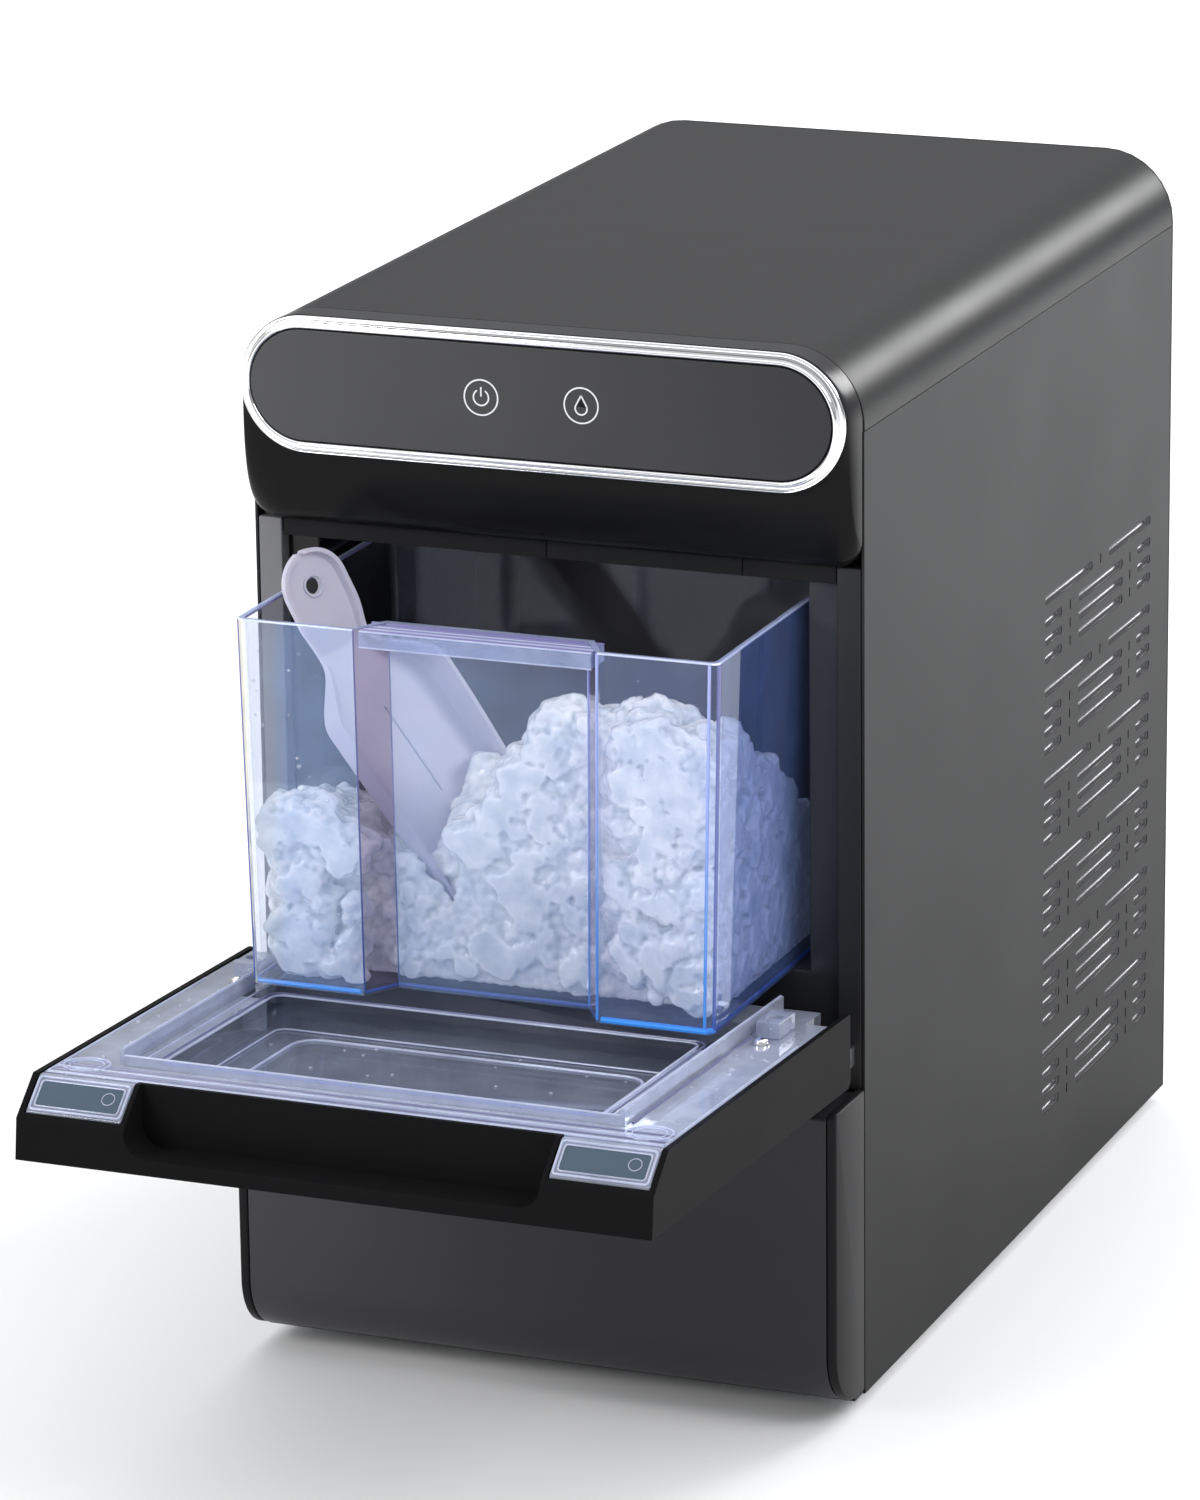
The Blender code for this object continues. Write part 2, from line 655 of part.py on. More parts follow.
def bin_plan(half, inset, bay=BAY_DEEP):
    """The bin seen from above: two lobes in front, with a bay for the fingers between them."""
    deep = BIN_DEEP
    slope = inset * math.tan(math.atan2(BAY_OUT - BAY_IN, BAY_DEEP) / 2)
    front = [
        (-BAY_OUT - slope, inset), (-BAY_IN - inset + slope, bay + inset),
        (BAY_IN + inset - slope, bay + inset), (BAY_OUT + slope, inset),
    ]
    r = 0.004 if inset == 0 else 0.0025
    x = half - inset
    return (
        front
        + arc((x - r, inset + r), r, -90, 0, 3) + arc((x - r, deep - inset - r), r, 0, 90, 3)
        + arc((-x + r, deep - inset - r), r, 90, 180, 3) + arc((-x + r, inset + r), r, 180, 270, 3)
    )


def drafted(part, foot_ratio):
    """Draws a prism's lower end in across X, as a moulded bin's draft does."""
    for vertex in part.data.vertices:
        if vertex.co.z < 0:
            vertex.co.x *= foot_ratio
    return part


def bin_prism(name, inset, low, high, finish=CLEAR):
    points = bin_plan(BIN_TOP_HALF, inset)
    part = outline(name, points, high - low, XY, (0, 0, (low + high) / 2), finish, BIN)
    return drafted(part, BIN_FOOT_HALF / BIN_TOP_HALF)


def ice_bin():
    shell = bin_prism("ice_bin", 0.0, 0.0, BIN_HEIGHT)
    cut(shell, bin_prism("cut_bin", BIN_WALL, BIN_WALL, BIN_HEIGHT + 0.002))
    low, high = (-0.049, 0.0, BIN_HEIGHT - 0.008), (0.049, BAY_DEEP + 0.001, BIN_HEIGHT)
    ledge = box("bin_ledge", low, high, CLEAR, BIN)
    join(shell, ledge)


def heap_height(x, y):
    """Top of the ice: a low mound on the left and a high one on the right that falls away to the back."""
    left = 0.030 * math.exp(-((x + 0.070) / 0.030) ** 2 - ((y - 0.035) / 0.05) ** 2)
    right = 0.078 * math.exp(-((x - 0.052) / 0.055) ** 2 - ((y - 0.040) / 0.065) ** 2)
    return 0.040 + left + right


def ice_heap():
    """The ice as one solid with a lumpy top, cut to the inside of the bin and round the scoop's path."""
    nx, ny = 16, 12
    low, high = Vector((-0.105, -0.005)), Vector((0.105, 0.155))

    def build(shape):
        made = bmesh.ops.create_grid(shape, x_segments=nx, y_segments=ny, size=0.5)["verts"]
        for vertex in made:
            x = low.x + (vertex.co.x + 0.5) * (high.x - low.x)
            y = low.y + (vertex.co.y + 0.5) * (high.y - low.y)
            lump = 0.0022 * math.sin(x * 410 + 1.3) * math.cos(y * 370)
            vertex.co = (x, y, heap_height(x, y) + lump)
        rim = [e for e in shape.edges if e.is_boundary]
        skirt = bmesh.ops.extrude_edge_only(shape, edges=rim)["geom"]
        lowered = [v for v in skirt if isinstance(v, bmesh.types.BMVert)]
        for vertex in lowered:
            vertex.co.z = -0.01
        bmesh.ops.contextual_create(shape, geom=[e for e in shape.edges if e.is_boundary])

    heap = add("ice_heap", mesh_from("ice_heap", build), ICE, BIN)
    inside = bin_prism("ice_room", BIN_WALL + GAP, BIN_WALL + GAP, BIN_HEIGHT - 0.004, ICE)
    combine(heap, (inside,), "INTERSECT")
    spare = 0.001
    low = (-BLADE_HALF - spare, -BLADE_DEEP - spare, -SCOOP_TRAVEL - spare)
    high = (BLADE_HALF + spare, SCOOP_WALL + spare, SCOOP_LONG)
    cut(heap, box("cut_scoop_path", low, high, ICE, SCOOP))


def scoop_frame():
    """The scoop's frame: Z up its handle, X across it, -Y out of its open side."""
    up = Vector((-math.sin(SCOOP_LEAN), 0, math.cos(SCOOP_LEAN)))
    side = Vector((math.cos(SCOOP_LEAN), 0, math.sin(SCOOP_LEAN)))
    across = side * math.sin(SCOOP_TURN) + Vector((0, 1, 0)) * math.cos(SCOOP_TURN)
    back = up.cross(across)
    turn = Matrix((across, back, up)).transposed().to_4x4()
    frame = empty("scoop_axis", (0, 0, 0), CABINET)
    frame.matrix_basis = Matrix.Translation(SCOOP_TIP) @ turn
    return frame


SCOOP = scoop_frame()


def blade_plan(half, tip, inset):
    """The blade seen from its open side: a blunt round tip, straight sides and a neck up to the handle."""
    corner = half * 0.62
    nose = arc((-half + corner, tip + corner), corner, 180, 270, 5)
    nose += arc((half - corner, tip + corner), corner, 270, 360, 5)
    neck = HANDLE_HALF * 0.85 - inset
    top = BLADE_LONG - inset
    shoulders = [(half, BLADE_HEEL), (neck, top), (-neck, top), (-half, BLADE_HEEL)]
    return nose + shoulders


def ice_scoop():
    """A deep blade whose sides run down to its tip, and a flat handle that bends up out of it."""
    deep = BLADE_DEEP
    blade = outline(
        "ice_scoop",
        blade_plan(BLADE_HALF, 0, 0),
        deep,
        XZ,
        (0, -deep / 2 + SCOOP_WALL, 0),
        SCOOP_WHITE,
        SCOOP,
    )
    inner = blade_plan(BLADE_HALF - SCOOP_WALL, SCOOP_WALL, SCOOP_WALL)
    cut(blade, outline("cut_blade", inner, deep, XZ, (0, -deep / 2, 0), SCOOP_WHITE, SCOOP))
    above, high = -0.05, BLADE_LONG * 2
    slope = [(above, -0.02), (above, high), (-deep, high), (-deep, BLADE_HEEL), (-deep * 0.3, -0.02)]
    cut(blade, outline("cut_slope", slope, 0.08, YZ, (0, 0, 0), SCOOP_WHITE, SCOOP))
    half, top = HANDLE_HALF, SCOOP_LONG - BLADE_LONG
    strap = [(half, -0.008), *arc((0, top - half), half, 0, 180, 10), (-half, -0.008)]
    bend = Matrix.Translation((0, 0.0003, BLADE_LONG)) @ Matrix.Rotation(HANDLE_BEND, 4, "X")
    handle = outline("scoop_handle", strap, 0.0035, XZ, (0, 0, 0), SCOOP_WHITE, SCOOP)
    handle.matrix_basis = bend @ handle.matrix_basis
    join(blade, handle)
    foot = (0, -0.01, top - HANDLE_HALF)
    hole = rod("cut_hang_hole", foot, (0, 1, 0), 0.0034, 0.03, SCOOP_WHITE, SCOOP, 16)
    hole.matrix_basis = bend @ hole.matrix_basis
    cut(blade, hole)


# ---------------------------------------------------------------- machinery inside


def compressor():
    x, y = COMPRESSOR_AT
    r = COMPRESSOR_RADIUS
    top = arc((0, 0.118), r, 90, 0, 6)
    foot = arc((0, 0.040), r, 0, -90, 5)
    profile = [(max(0, px), 0.118 + (pz - 0.118) * 0.6) for px, pz in top]
    profile += [(max(0, px), 0.040 + (pz - 0.040) * 0.5) for px, pz in foot]
    turned("compressor", profile, Matrix.Translation((x, y, 0.0)), BLACK, sides=32)
    box("compressor_bracket", (x - 0.048, y - 0.060, 0.0035), (x + 0.048, y + 0.060, 0.0140), STEEL)


def condenser():
    """A finned block behind the side vents, with its fan and shroud inboard of it."""
    low, high = Vector((0.099, 0.232, 0.066)), Vector((0.121, 0.370, 0.206))
    block = box("condenser", low, high, ALUMINIUM)

    def build(shape):
        count = 12
        for i in range(count):
            made = bmesh.ops.create_cube(shape, size=1.0)["verts"]
            bmesh.ops.scale(shape, vec=(0.010, 0.0055, 0.124), verts=made)
            y = low.y + 0.009 + i * (high.y - low.y - 0.018) / (count - 1)
            bmesh.ops.translate(shape, vec=(high.x - 0.001, y, (low.z + high.z) / 2), verts=made)

    cut(block, add("cut_fins", mesh_from("fins", build), ALUMINIUM))
    shroud = box("fan_shroud", (0.074, 0.238, 0.075), (0.0987, 0.362, 0.197), BLACK)
    cut(shroud, rod("cut_shroud", (0.07, FAN_Y, FAN_Z), (1, 0, 0), FAN_RADIUS + 0.003, 0.04, BLACK, sides=32))
    rod("fan_motor", (0.046, FAN_Y, FAN_Z), (1, 0, 0), 0.019, 0.030, STEEL)
    rotor = rod("condenser_fan", (0.0765, FAN_Y, FAN_Z), (1, 0, 0), 0.016, 0.016, BLACK)
    for i in range(5):
        turn = Matrix.Rotation(i * 2 * math.pi / 5, 4, "X")
        pitch = Matrix.Rotation(math.radians(32), 4, "Z")
        blade = box(f"fan_blade_{i}", (-0.0013, -0.012, 0.010), (0.0013, 0.012, FAN_RADIUS), BLACK)
        middle = Matrix.Translation((0, 0, (0.010 + FAN_RADIUS) / 2))
        blade.matrix_basis = Matrix.Translation((0.0845, FAN_Y, FAN_Z)) @ turn @ middle @ pitch
        join(rotor, blade)


def ice_engine():
    """The freezing barrel with its auger, over the gear motor."""
    at = Vector((BARREL_X, BARREL_Y, BARREL_Z))
    outer = 0.024
    tube = rod("freezing_barrel", at, (0, 0, 1), outer, BARREL_HIGH, ALUMINIUM, sides=32)
    cut(tube, rod("cut_barrel", at - Vector((0, 0, 0.01)), (0, 0, 1), 0.0182, BARREL_HIGH + 0.02, sides=28))
    shaft = rod("auger", at + Vector((0, 0, -0.004)), (0, 0, 1), 0.0085, BARREL_HIGH, STEEL, sides=20)
    join(shaft, auger_flight(at + Vector((0, 0, 0.012))))
    motor = box("gear_motor", (at.x - 0.030, at.y - 0.028, 0.110), (at.x + 0.030, at.y + 0.030, 0.200), BLACK)
    soften(motor, 0.004)


def auger_flight(place):
    """A steel ribbon wound round the shaft: one face spun along a helix, with both ends closed."""
    turns, pitch, steps = 4, 0.034, 16
    inner, outer, thick = 0.0070, 0.0172, 0.0028

    def build(shape):
        corners = [(inner, 0, 0), (outer, 0, 0), (outer, 0, thick), (inner, 0, thick)]
        face = shape.faces.new([shape.verts.new(c) for c in corners])
        bmesh.ops.spin(
            shape, geom=[face, *face.edges, *face.verts], cent=(0, 0, 0), axis=(0, 0, 1),
            dvec=(0, 0, pitch / steps), angle=turns * 2 * math.pi, steps=turns * steps, use_duplicate=False,
        )
        bmesh.ops.holes_fill(shape, edges=[e for e in shape.edges if e.is_boundary])

    return add("auger_flight", mesh_from("auger_flight", build), STEEL, None, Matrix.Translation(place))


def water_side():
    tank = box("water_tank", (-0.124, 0.262, 0.052), (-0.080, 0.394, 0.235), TANK)
    cut(tank, box("cut_tank", (-0.122, 0.264, 0.054), (-0.082, 0.392, 0.26)))
    pump = box("water_pump", (-0.118, 0.290, 0.006), (-0.084, 0.340, 0.049), BLACK)
    soften(pump, 0.003)
    hose = [(-0.101, 0.287, 0.025), (-0.101, 0.262, 0.026), (-0.110, 0.238, 0.060), (-0.114, 0.205, 0.120),
            (-0.114, 0.205, 0.215)]
    pipe("water_hose", hose, 0.0032, TANK)
    spout = rod("drain_spout", (DRAIN_X, DRAIN_END - 0.050, DRAIN_Z), (0, 1, 0), 0.0078, 0.050, BLACK)
    cut(spout, rod("cut_spout", (DRAIN_X, DRAIN_END - 0.042, DRAIN_Z), (0, 1, 0), 0.005, 0.05, BLACK))
    cap = [(0, CAP_THICK), (0.0082, CAP_THICK), (0.0082, 0), (0.0046, 0), (0.0046, -0.012), (0, -0.012)]
    turn = Matrix.Translation((DRAIN_X, DRAIN_END + GAP, DRAIN_Z)) @ Matrix.Rotation(-math.pi / 2, 4, "X")
    turned("drain_cap", cap, turn, RUBBER, sides=20)


def refrigerant_lines():
    x, y = COMPRESSOR_AT
    discharge = [(x + 0.020, y - 0.030, 0.1475), (x + 0.021, y - 0.032, 0.185), (0.060, 0.245, 0.220),
                 (0.110, 0.250, 0.226), (0.110, 0.250, 0.2080)]
    pipe("discharge_pipe", discharge, 0.0026)
    suction = [(x - 0.022, y + 0.006, 0.1495), (x - 0.023, y + 0.006, 0.200), (-0.044, 0.262, 0.250),
               (-0.060, 0.240, 0.300), (-0.076, 0.2325, 0.345)]
    pipe("suction_pipe", suction, 0.0035)
    drier = [(0, 0.032), (0.0025, 0.032), (0.0085, 0.022), (0.0085, -0.022), (0.0025, -0.032), (0, -0.032)]
    turned("filter_drier", drier, Matrix.Translation((0.062, 0.215, 0.110)), COPPER, sides=20)


def electrics():
    box("power_board", (0.010, 0.050, 0.356), (0.100, 0.150, 0.3576), BOARD)
    inlet = box("power_inlet", (0.0605, 0.380, 0.0405), (0.0895, 0.4025, 0.0615), BLACK)
    join(inlet, box("inlet_flange", (0.054, DEPTH + GAP, 0.036), (0.096, DEPTH + 0.0025, 0.066)))
    join(inlet, box("inlet_neck", (0.0605, 0.400, 0.0405), (0.0895, DEPTH + 0.001, 0.0615)))
    cut(inlet, box("cut_inlet_well", (0.064, 0.388, 0.0435), (0.086, 0.41, 0.0585)))


def build_all():
    side_panels()
    top_cover()
    rear_panel()
    base_and_feet()
    head_housing()
    head_fittings()
    front_frame()
    cavity_liner()
    ice_chute()
    lower_front()
    hinge_arms()
    door_shell()
    door_liner()
    door_fittings()
    ice_bin()
    ice_heap()
    ice_scoop()
    compressor()
    condenser()
    ice_engine()
    water_side()
    refrigerant_lines()
    electrics()


build_all()
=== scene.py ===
"""The look of a countertop ice maker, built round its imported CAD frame.

Metres throughout, in the frame's axes: X to the right, Y to the back, Z up.
"""

import json
import math
import random

import bmesh
import bpy
from mathutils import Matrix, Vector, noise


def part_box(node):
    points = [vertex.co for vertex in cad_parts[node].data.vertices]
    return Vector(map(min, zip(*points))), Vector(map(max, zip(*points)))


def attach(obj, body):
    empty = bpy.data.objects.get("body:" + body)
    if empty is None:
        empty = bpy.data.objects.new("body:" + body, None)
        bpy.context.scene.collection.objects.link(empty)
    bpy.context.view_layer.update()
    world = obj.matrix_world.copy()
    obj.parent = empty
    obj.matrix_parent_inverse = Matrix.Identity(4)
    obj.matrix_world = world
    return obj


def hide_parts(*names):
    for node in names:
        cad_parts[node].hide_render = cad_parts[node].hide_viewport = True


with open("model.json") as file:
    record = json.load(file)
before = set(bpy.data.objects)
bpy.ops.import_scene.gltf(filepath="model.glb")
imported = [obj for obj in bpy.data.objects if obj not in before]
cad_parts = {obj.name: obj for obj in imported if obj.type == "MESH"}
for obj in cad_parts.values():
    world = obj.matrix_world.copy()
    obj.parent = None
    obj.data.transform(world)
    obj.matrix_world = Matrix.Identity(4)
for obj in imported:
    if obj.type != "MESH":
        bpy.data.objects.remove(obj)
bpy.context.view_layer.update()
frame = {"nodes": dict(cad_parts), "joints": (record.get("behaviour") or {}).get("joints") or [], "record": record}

# ---------------------------------------------------------------- places, read from the frame but for the scoop's turn and back

JOINTS = {joint["name"]: joint for joint in frame["joints"]}
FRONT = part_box("left_post")[0].y  # the plane of the posts' faces
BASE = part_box("right_side_panel")[0].z
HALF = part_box("right_side_panel")[1].x
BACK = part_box("rear_panel")[1].y
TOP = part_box("top_cover")[1].z
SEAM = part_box("top_cover")[0].z

DOOR_RISE = math.radians(90 - JOINTS["door_hinge"]["range_deg"][1])
DOOR = Matrix.Translation(JOINTS["door_hinge"]["pos_m"]) @ Matrix.Rotation(-DOOR_RISE, 4, "X")
BIN_LOW, BIN_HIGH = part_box("ice_bin")
BIN = Matrix.Translation((0, BIN_LOW.y, BIN_LOW.z))
BIN_HEIGHT = BIN_HIGH.z - BIN_LOW.z
BIN_DEEP = BIN_HIGH.y - BIN_LOW.y

RING_LOW, RING_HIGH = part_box("trim_ring")
RING_Z = (RING_LOW.z + RING_HIGH.z) / 2
RING_RADIUS = (RING_HIGH.z - RING_LOW.z) / 2
RING_HALF = RING_HIGH.x

XZ = Matrix.Rotation(math.pi / 2, 4, "X")  # an outline's x, y go to X, Z
YZ = Matrix(((0, 0, 1, 0), (1, 0, 0, 0), (0, 1, 0, 0), (0, 0, 0, 1)))  # x, y go to Y, Z

SCOOP_TURN = math.radians(32)  # the open side's turn about the handle
SCOOP_BACK = 0.00205  # from the scoop's middle plane to its back


def scoop_place():
    """The scoop's own frame, from its CAD solid: Z up the handle, X across, -Y out of its open side."""
    up = -Vector(JOINTS["scoop_settle"]["axis"]).normalized()
    lean = math.atan2(-up.x, up.z)
    turn = SCOOP_TURN
    side = Vector((math.cos(lean), 0, math.sin(lean)))
    across = side * math.sin(turn) + Vector((0, math.cos(turn), 0))
    back = up.cross(across)
    points = [v.co for v in frame["nodes"]["ice_scoop"].data.vertices]

    def ends(axis):
        reach = [point.dot(axis) for point in points]
        return min(reach), max(reach)

    origin = across * sum(ends(across)) / 2 + back * (ends(back)[1] - SCOOP_BACK) + up * ends(up)[0]
    return Matrix.Translation(origin) @ Matrix((across, back, up)).transposed().to_4x4()


SCOOP = scoop_place()

# ---------------------------------------------------------------- camera, light, floor


CAMERA_AT = (1.0044, FRONT - 2.4502, BASE + 1.0346)
CAMERA_LENS, SENSOR = 166.02, 36
YAW, PITCH, ROLL = (math.radians(angle) for angle in (21.923, 16.359, -0.704))


def placed(name, data):
    """A new object of that data, in the scene."""
    made = bpy.data.objects.new(name, data)
    bpy.context.scene.collection.objects.link(made)
    return made


def camera():
    """Stands to the right and above, looking down at the open door."""
    look = Vector((-math.sin(YAW) * math.cos(PITCH), math.cos(YAW) * math.cos(PITCH), -math.sin(PITCH)))
    level = Vector((math.cos(YAW), math.sin(YAW), 0))
    above = level.cross(look)
    right = math.cos(ROLL) * level + math.sin(ROLL) * above
    up = -math.sin(ROLL) * level + math.cos(ROLL) * above
    data = bpy.data.cameras.new("camera")
    data.lens = CAMERA_LENS
    data.sensor_width = SENSOR
    view = placed("camera", data)
    view.matrix_world = Matrix.Translation(CAMERA_AT) @ Matrix((right, up, -look)).transposed().to_4x4()
    bpy.context.scene.camera = view


def softbox(name, place, aim, size, power):
    data = bpy.data.lights.new(name, "AREA")
    data.shape = "RECTANGLE"
    data.size, data.size_y = size
    data.energy = power
    lamp = placed(name, data)
    lamp.location = place
    lamp.rotation_euler = (Vector(aim) - Vector(place)).to_track_quat("-Z", "Y").to_euler()


def sky():
    """An even white studio, darker towards the walls than overhead."""
    world = bpy.data.worlds.new("studio")
    world.use_nodes = True
    light = world.node_tree.nodes["Background"].inputs
    height = node(world, "TexCoord").outputs["Generated"]
    height = node(world, "SeparateXYZ", Vector=height).outputs["Z"]
    feed(world, light["Strength"], ranged(world, height, 0.30, 1.15, 0.10, 0.85))
    feed(world, light["Color"], (0.97, 0.98, 1))
    bpy.context.scene.world = world


FLOOR_REACH = 9.0


def studio():
    sky()
    scene = bpy.context.scene
    scene.view_settings.view_transform = "Standard"
    scene.cycles.transparent_max_bounces = 40
    softbox("front_left", (-1.7, -2.2, 1.5), (0, 0, 0.25), (1.2, 1.2), 40)
    softbox("behind_right", (1.25, 2.6, 1.25), (0, 0, 0.35), (0.9, 0.7), 34)
    softbox("right_top", (2.2, -0.3, 1.9), (0, 0.1, 0.3), (1.2, 1.2), 24)
    softbox("far_floor", (0, 3.6, 3.2), (0, 4.2, 0), (5.0, 3.0), 90)
    floor = bpy.data.meshes.new("floor")
    corners = [(x * FLOOR_REACH, y * FLOOR_REACH, 0) for x, y in ((-1, -1), (1, -1), (1, 1), (-1, 1))]
    floor.from_pydata(corners, [], [(0, 1, 2, 3)])
    floor.materials.append(plain("pale_floor", (0.95, 0.95, 0.95), 0.9))
    ground = placed("floor", floor)


# ---------------------------------------------------------------- materials


def feed(made, socket, value):
    """Links a socket to another or sets its value. A colour may leave out its alpha."""
    if isinstance(value, bpy.types.NodeSocket):
        made.node_tree.links.new(value, socket)
    elif socket.type == "RGBA" and len(value) == 3:
        socket.default_value = (*value, 1)
    else:
        socket.default_value = value


def node(made, kind, **settings):
    """A new shader node. A setting names an attribute or an input, with its spaces as underscores."""
    found = made.node_tree.nodes.new("ShaderNode" + kind)
    for key, value in settings.items():
        if hasattr(found, key):
            setattr(found, key, value)
        else:
            feed(made, found.inputs[key.replace("_", " ")], value)
    return found


def metres(made, stretch=(1, 1, 1)):
    """The piece's own coordinates in metres, each axis scaled by stretch."""
    where = node(made, "TexCoord").outputs["Object"]
    return node(made, "Mapping", Vector=where, Scale=stretch).outputs["Vector"]


def place_on(made, axis):
    """The piece's own coordinate along one axis."""
    where = node(made, "TexCoord").outputs["Object"]
    return node(made, "SeparateXYZ", Vector=where).outputs[axis]


def noised(made, where, scale, detail):
    return node(made, "TexNoise", Vector=where, Scale=scale, Detail=detail).outputs["Fac"]


def ranged(made, value, to_low, to_high, from_low=0.0, from_high=1.0):
    found = node(
        made, "MapRange", Value=value, From_Min=from_low, From_Max=from_high, To_Min=to_low, To_Max=to_high
    )
    return found.outputs["Result"]


def worked(made, operation, *values):
    """The result of a Math node."""
    found = node(made, "Math", operation=operation)
    for socket, value in zip(found.inputs, values):
        feed(made, socket, value)
    return found.outputs[0]


def mixed(made, factor, first, second, blend="MIX"):
    """Two colours mixed; each of the three may be a value or a socket."""
    found = node(made, "Mix", data_type="RGBA", blend_type=blend, Factor=factor)
    feed(made, found.inputs[6], first)
    feed(made, found.inputs[7], second)
    return found.outputs[2]


def blended(made, factor, first, second):
    """Two shaders mixed."""
    found = node(made, "MixShader")
    for socket, value in zip(found.inputs, (factor, first.outputs[0], second.outputs[0])):
        feed(made, socket, value)
    return found


def ramped(made, value, stops):
    """A colour ramp: each stop is a place from 0 to 1 and its colour."""
    ramp = node(made, "ValToRGB")
    feed(made, ramp.inputs[0], value)
    elements = ramp.color_ramp.elements
    elements.remove(elements[1])
    for number, (at, colour) in enumerate(stops):
        element = elements.new(at) if number else elements[0]
        element.position = at
        element.color = (*colour, 1)
    return ramp.outputs["Color"]


def plain(name, colour, roughness, metallic=0.0, **more):
    """A Principled material; more names its other sockets."""
    made = bpy.data.materials.new(name)
    made.use_nodes = True
    sockets = made.node_tree.nodes["Principled BSDF"].inputs
    settings = {"Base Color": colour, "Roughness": roughness, "Metallic": metallic, **more}
    for socket, value in settings.items():
        feed(made, sockets[socket.replace("_", " ")], value)
    return made


def drive(made, **sources):
    """Feeds the Principled shader's sockets."""
    sockets = made.node_tree.nodes["Principled BSDF"].inputs
    for socket, source in sources.items():
        feed(made, sockets[socket.replace("_", " ")], source)


def textured(
    name, colour, roughness, metallic=0.0,
    grain=2600, depth=0.00003, vary=0.12, stretch=(1, 1, 1), painted_light=None, **more,
):
    """A coated or moulded finish: fine grain as bump, and slow changes of tone and gloss.

    Painted light changes the tone evenly along an axis, as painted shading where the lamps light one end more than
    the other: it lists the axis, two places and the shares there.
    """
    made = plain(name, colour, roughness, metallic, **more)
    where = metres(made, stretch)
    bump = node(made, "Bump", Strength=0.35, Distance=depth, Height=noised(made, where, grain, 2.0))
    slow = noised(made, where, 14.0, 4.0)
    level = ranged(made, slow, 1 - vary, 1 + vary)
    # Painted light: a slope of tone along one axis multiplies the colour.
    if painted_light:
        axis, low, high, at_low, at_high = painted_light
        slope = ranged(made, place_on(made, axis), at_low, at_high, low, high)
        level = worked(made, "MULTIPLY", level, slope)
    drive(
        made,
        Base_Color=mixed(made, 1.0, colour, level, "MULTIPLY"),
        Roughness=ranged(made, slow, roughness * 0.88, min(1.0, roughness * 1.12)),
        Normal=bump.outputs["Normal"],
    )
    return made


def clear(
    name, straight, edge_on, haze=0.04, haze_colour=(0.75, 0.78, 0.95), gloss=0.03, across=None, shine=1.0
):
    """Clear plastic: tinted more where it's seen edge-on, with a mirror's share that rises the same way.

    Haze is a diffuse share, partly dust and partly painted light caught in the wall. It may change across X:
    across lists places, amounts and colours.
    """
    made = bpy.data.materials.new(name)
    made.use_nodes = True
    nodes = made.node_tree.nodes
    nodes.remove(nodes["Principled BSDF"])
    facing = node(made, "LayerWeight", Blend=0.5).outputs["Facing"]
    tint = mixed(made, worked(made, "POWER", facing, 2.0), straight, edge_on)
    through = node(made, "BsdfTransparent", Color=tint)
    mirror = node(made, "BsdfGlossy", Color=(0.9, 0.93, 1), Roughness=gloss)
    share = ranged(made, worked(made, "POWER", facing, 4.0), 0.04 * shine, 0.85 * shine)
    skin = blended(made, share, through, mirror)
    # Haze: partly dust, partly painted light caught in the wall.
    dust_and_painted_light = node(made, "BsdfDiffuse", Color=haze_colour)
    level = ranged(made, noised(made, metres(made), 60.0, 3.0), haze * 0.5, haze * 1.5)
    if across:
        level = spread(made, level, dust_and_painted_light, across)
    whole = blended(made, level, skin, dust_and_painted_light)
    feed(made, nodes["Material Output"].inputs["Surface"], whole.outputs[0])
    return made


def uneven(made, axis, scale, reach):
    """A place along an axis, pushed about by noise so that what it drives has an uneven border."""
    where = node(made, "TexCoord").outputs["Object"]
    return worked(made, "MULTIPLY_ADD", noised(made, where, scale, 2.0), reach, place_on(made, axis))


def spread(made, level, dust_and_painted_light, across):
    """Drives the haze and its colour by the place along X: this paints the light and reflection caught across the
    wall.
    """
    reach = 0.006
    low, high = across[0][0], across[-1][0]
    place = ranged(made, uneven(made, "X", 55.0, reach), 0, 1, low + reach / 2, high + reach / 2)
    shares = [(at - low) / (high - low) for at, _, _ in across]
    colours = ramped(made, place, [(share, stop[2]) for share, stop in zip(shares, across)])
    amounts = ramped(made, place, [(share, (stop[1],) * 3) for share, stop in zip(shares, across)])
    feed(made, dust_and_painted_light.inputs["Color"], colours)
    return worked(made, "MULTIPLY", level, amounts)


def ice_material():
    """Wet crushed ice: white and milky, clearer in random patches, with painted shade in the hollows between the
    lumps, a faint glow of painted light, and a sharp wet gloss.
    """
    white, watery, deep = (1.0, 0.99, 0.965), (0.62, 0.68, 0.73), (0.34, 0.39, 0.44)
    # Painted light: a faint bluish emission lifts the ice's shadows.
    made = plain(
        "wet_ice", (0.9, 0.94, 0.96), 0.25, IOR=1.31, Subsurface_Weight=0.7, Subsurface_Scale=0.012,
        Subsurface_Radius=(0.8, 0.95, 1.0), Coat_Weight=0.7, Coat_Roughness=0.04, Emission_Strength=0.09,
        Emission_Color=(0.80, 0.90, 1.0),
    )
    where = metres(made)
    patch = ranged(made, noised(made, where, 95.0, 3.0), 0, 1, 0.35, 0.7)
    # Painted shade: where pointiness is low, in the hollows between the lumps, the colour goes to the dark
    # blue-grey deep.
    pointed = node(made, "NewGeometry").outputs["Pointiness"]
    ridge = ranged(made, pointed, 0, 1, 0.40, 0.52)
    crust = node(made, "Bump", Strength=0.6, Distance=0.0009, Height=noised(made, where, 420.0, 4.0))
    colour = mixed(made, ridge, deep, mixed(made, patch, white, watery))
    drive(made, Base_Color=colour, Normal=crust.outputs["Normal"])
    return made


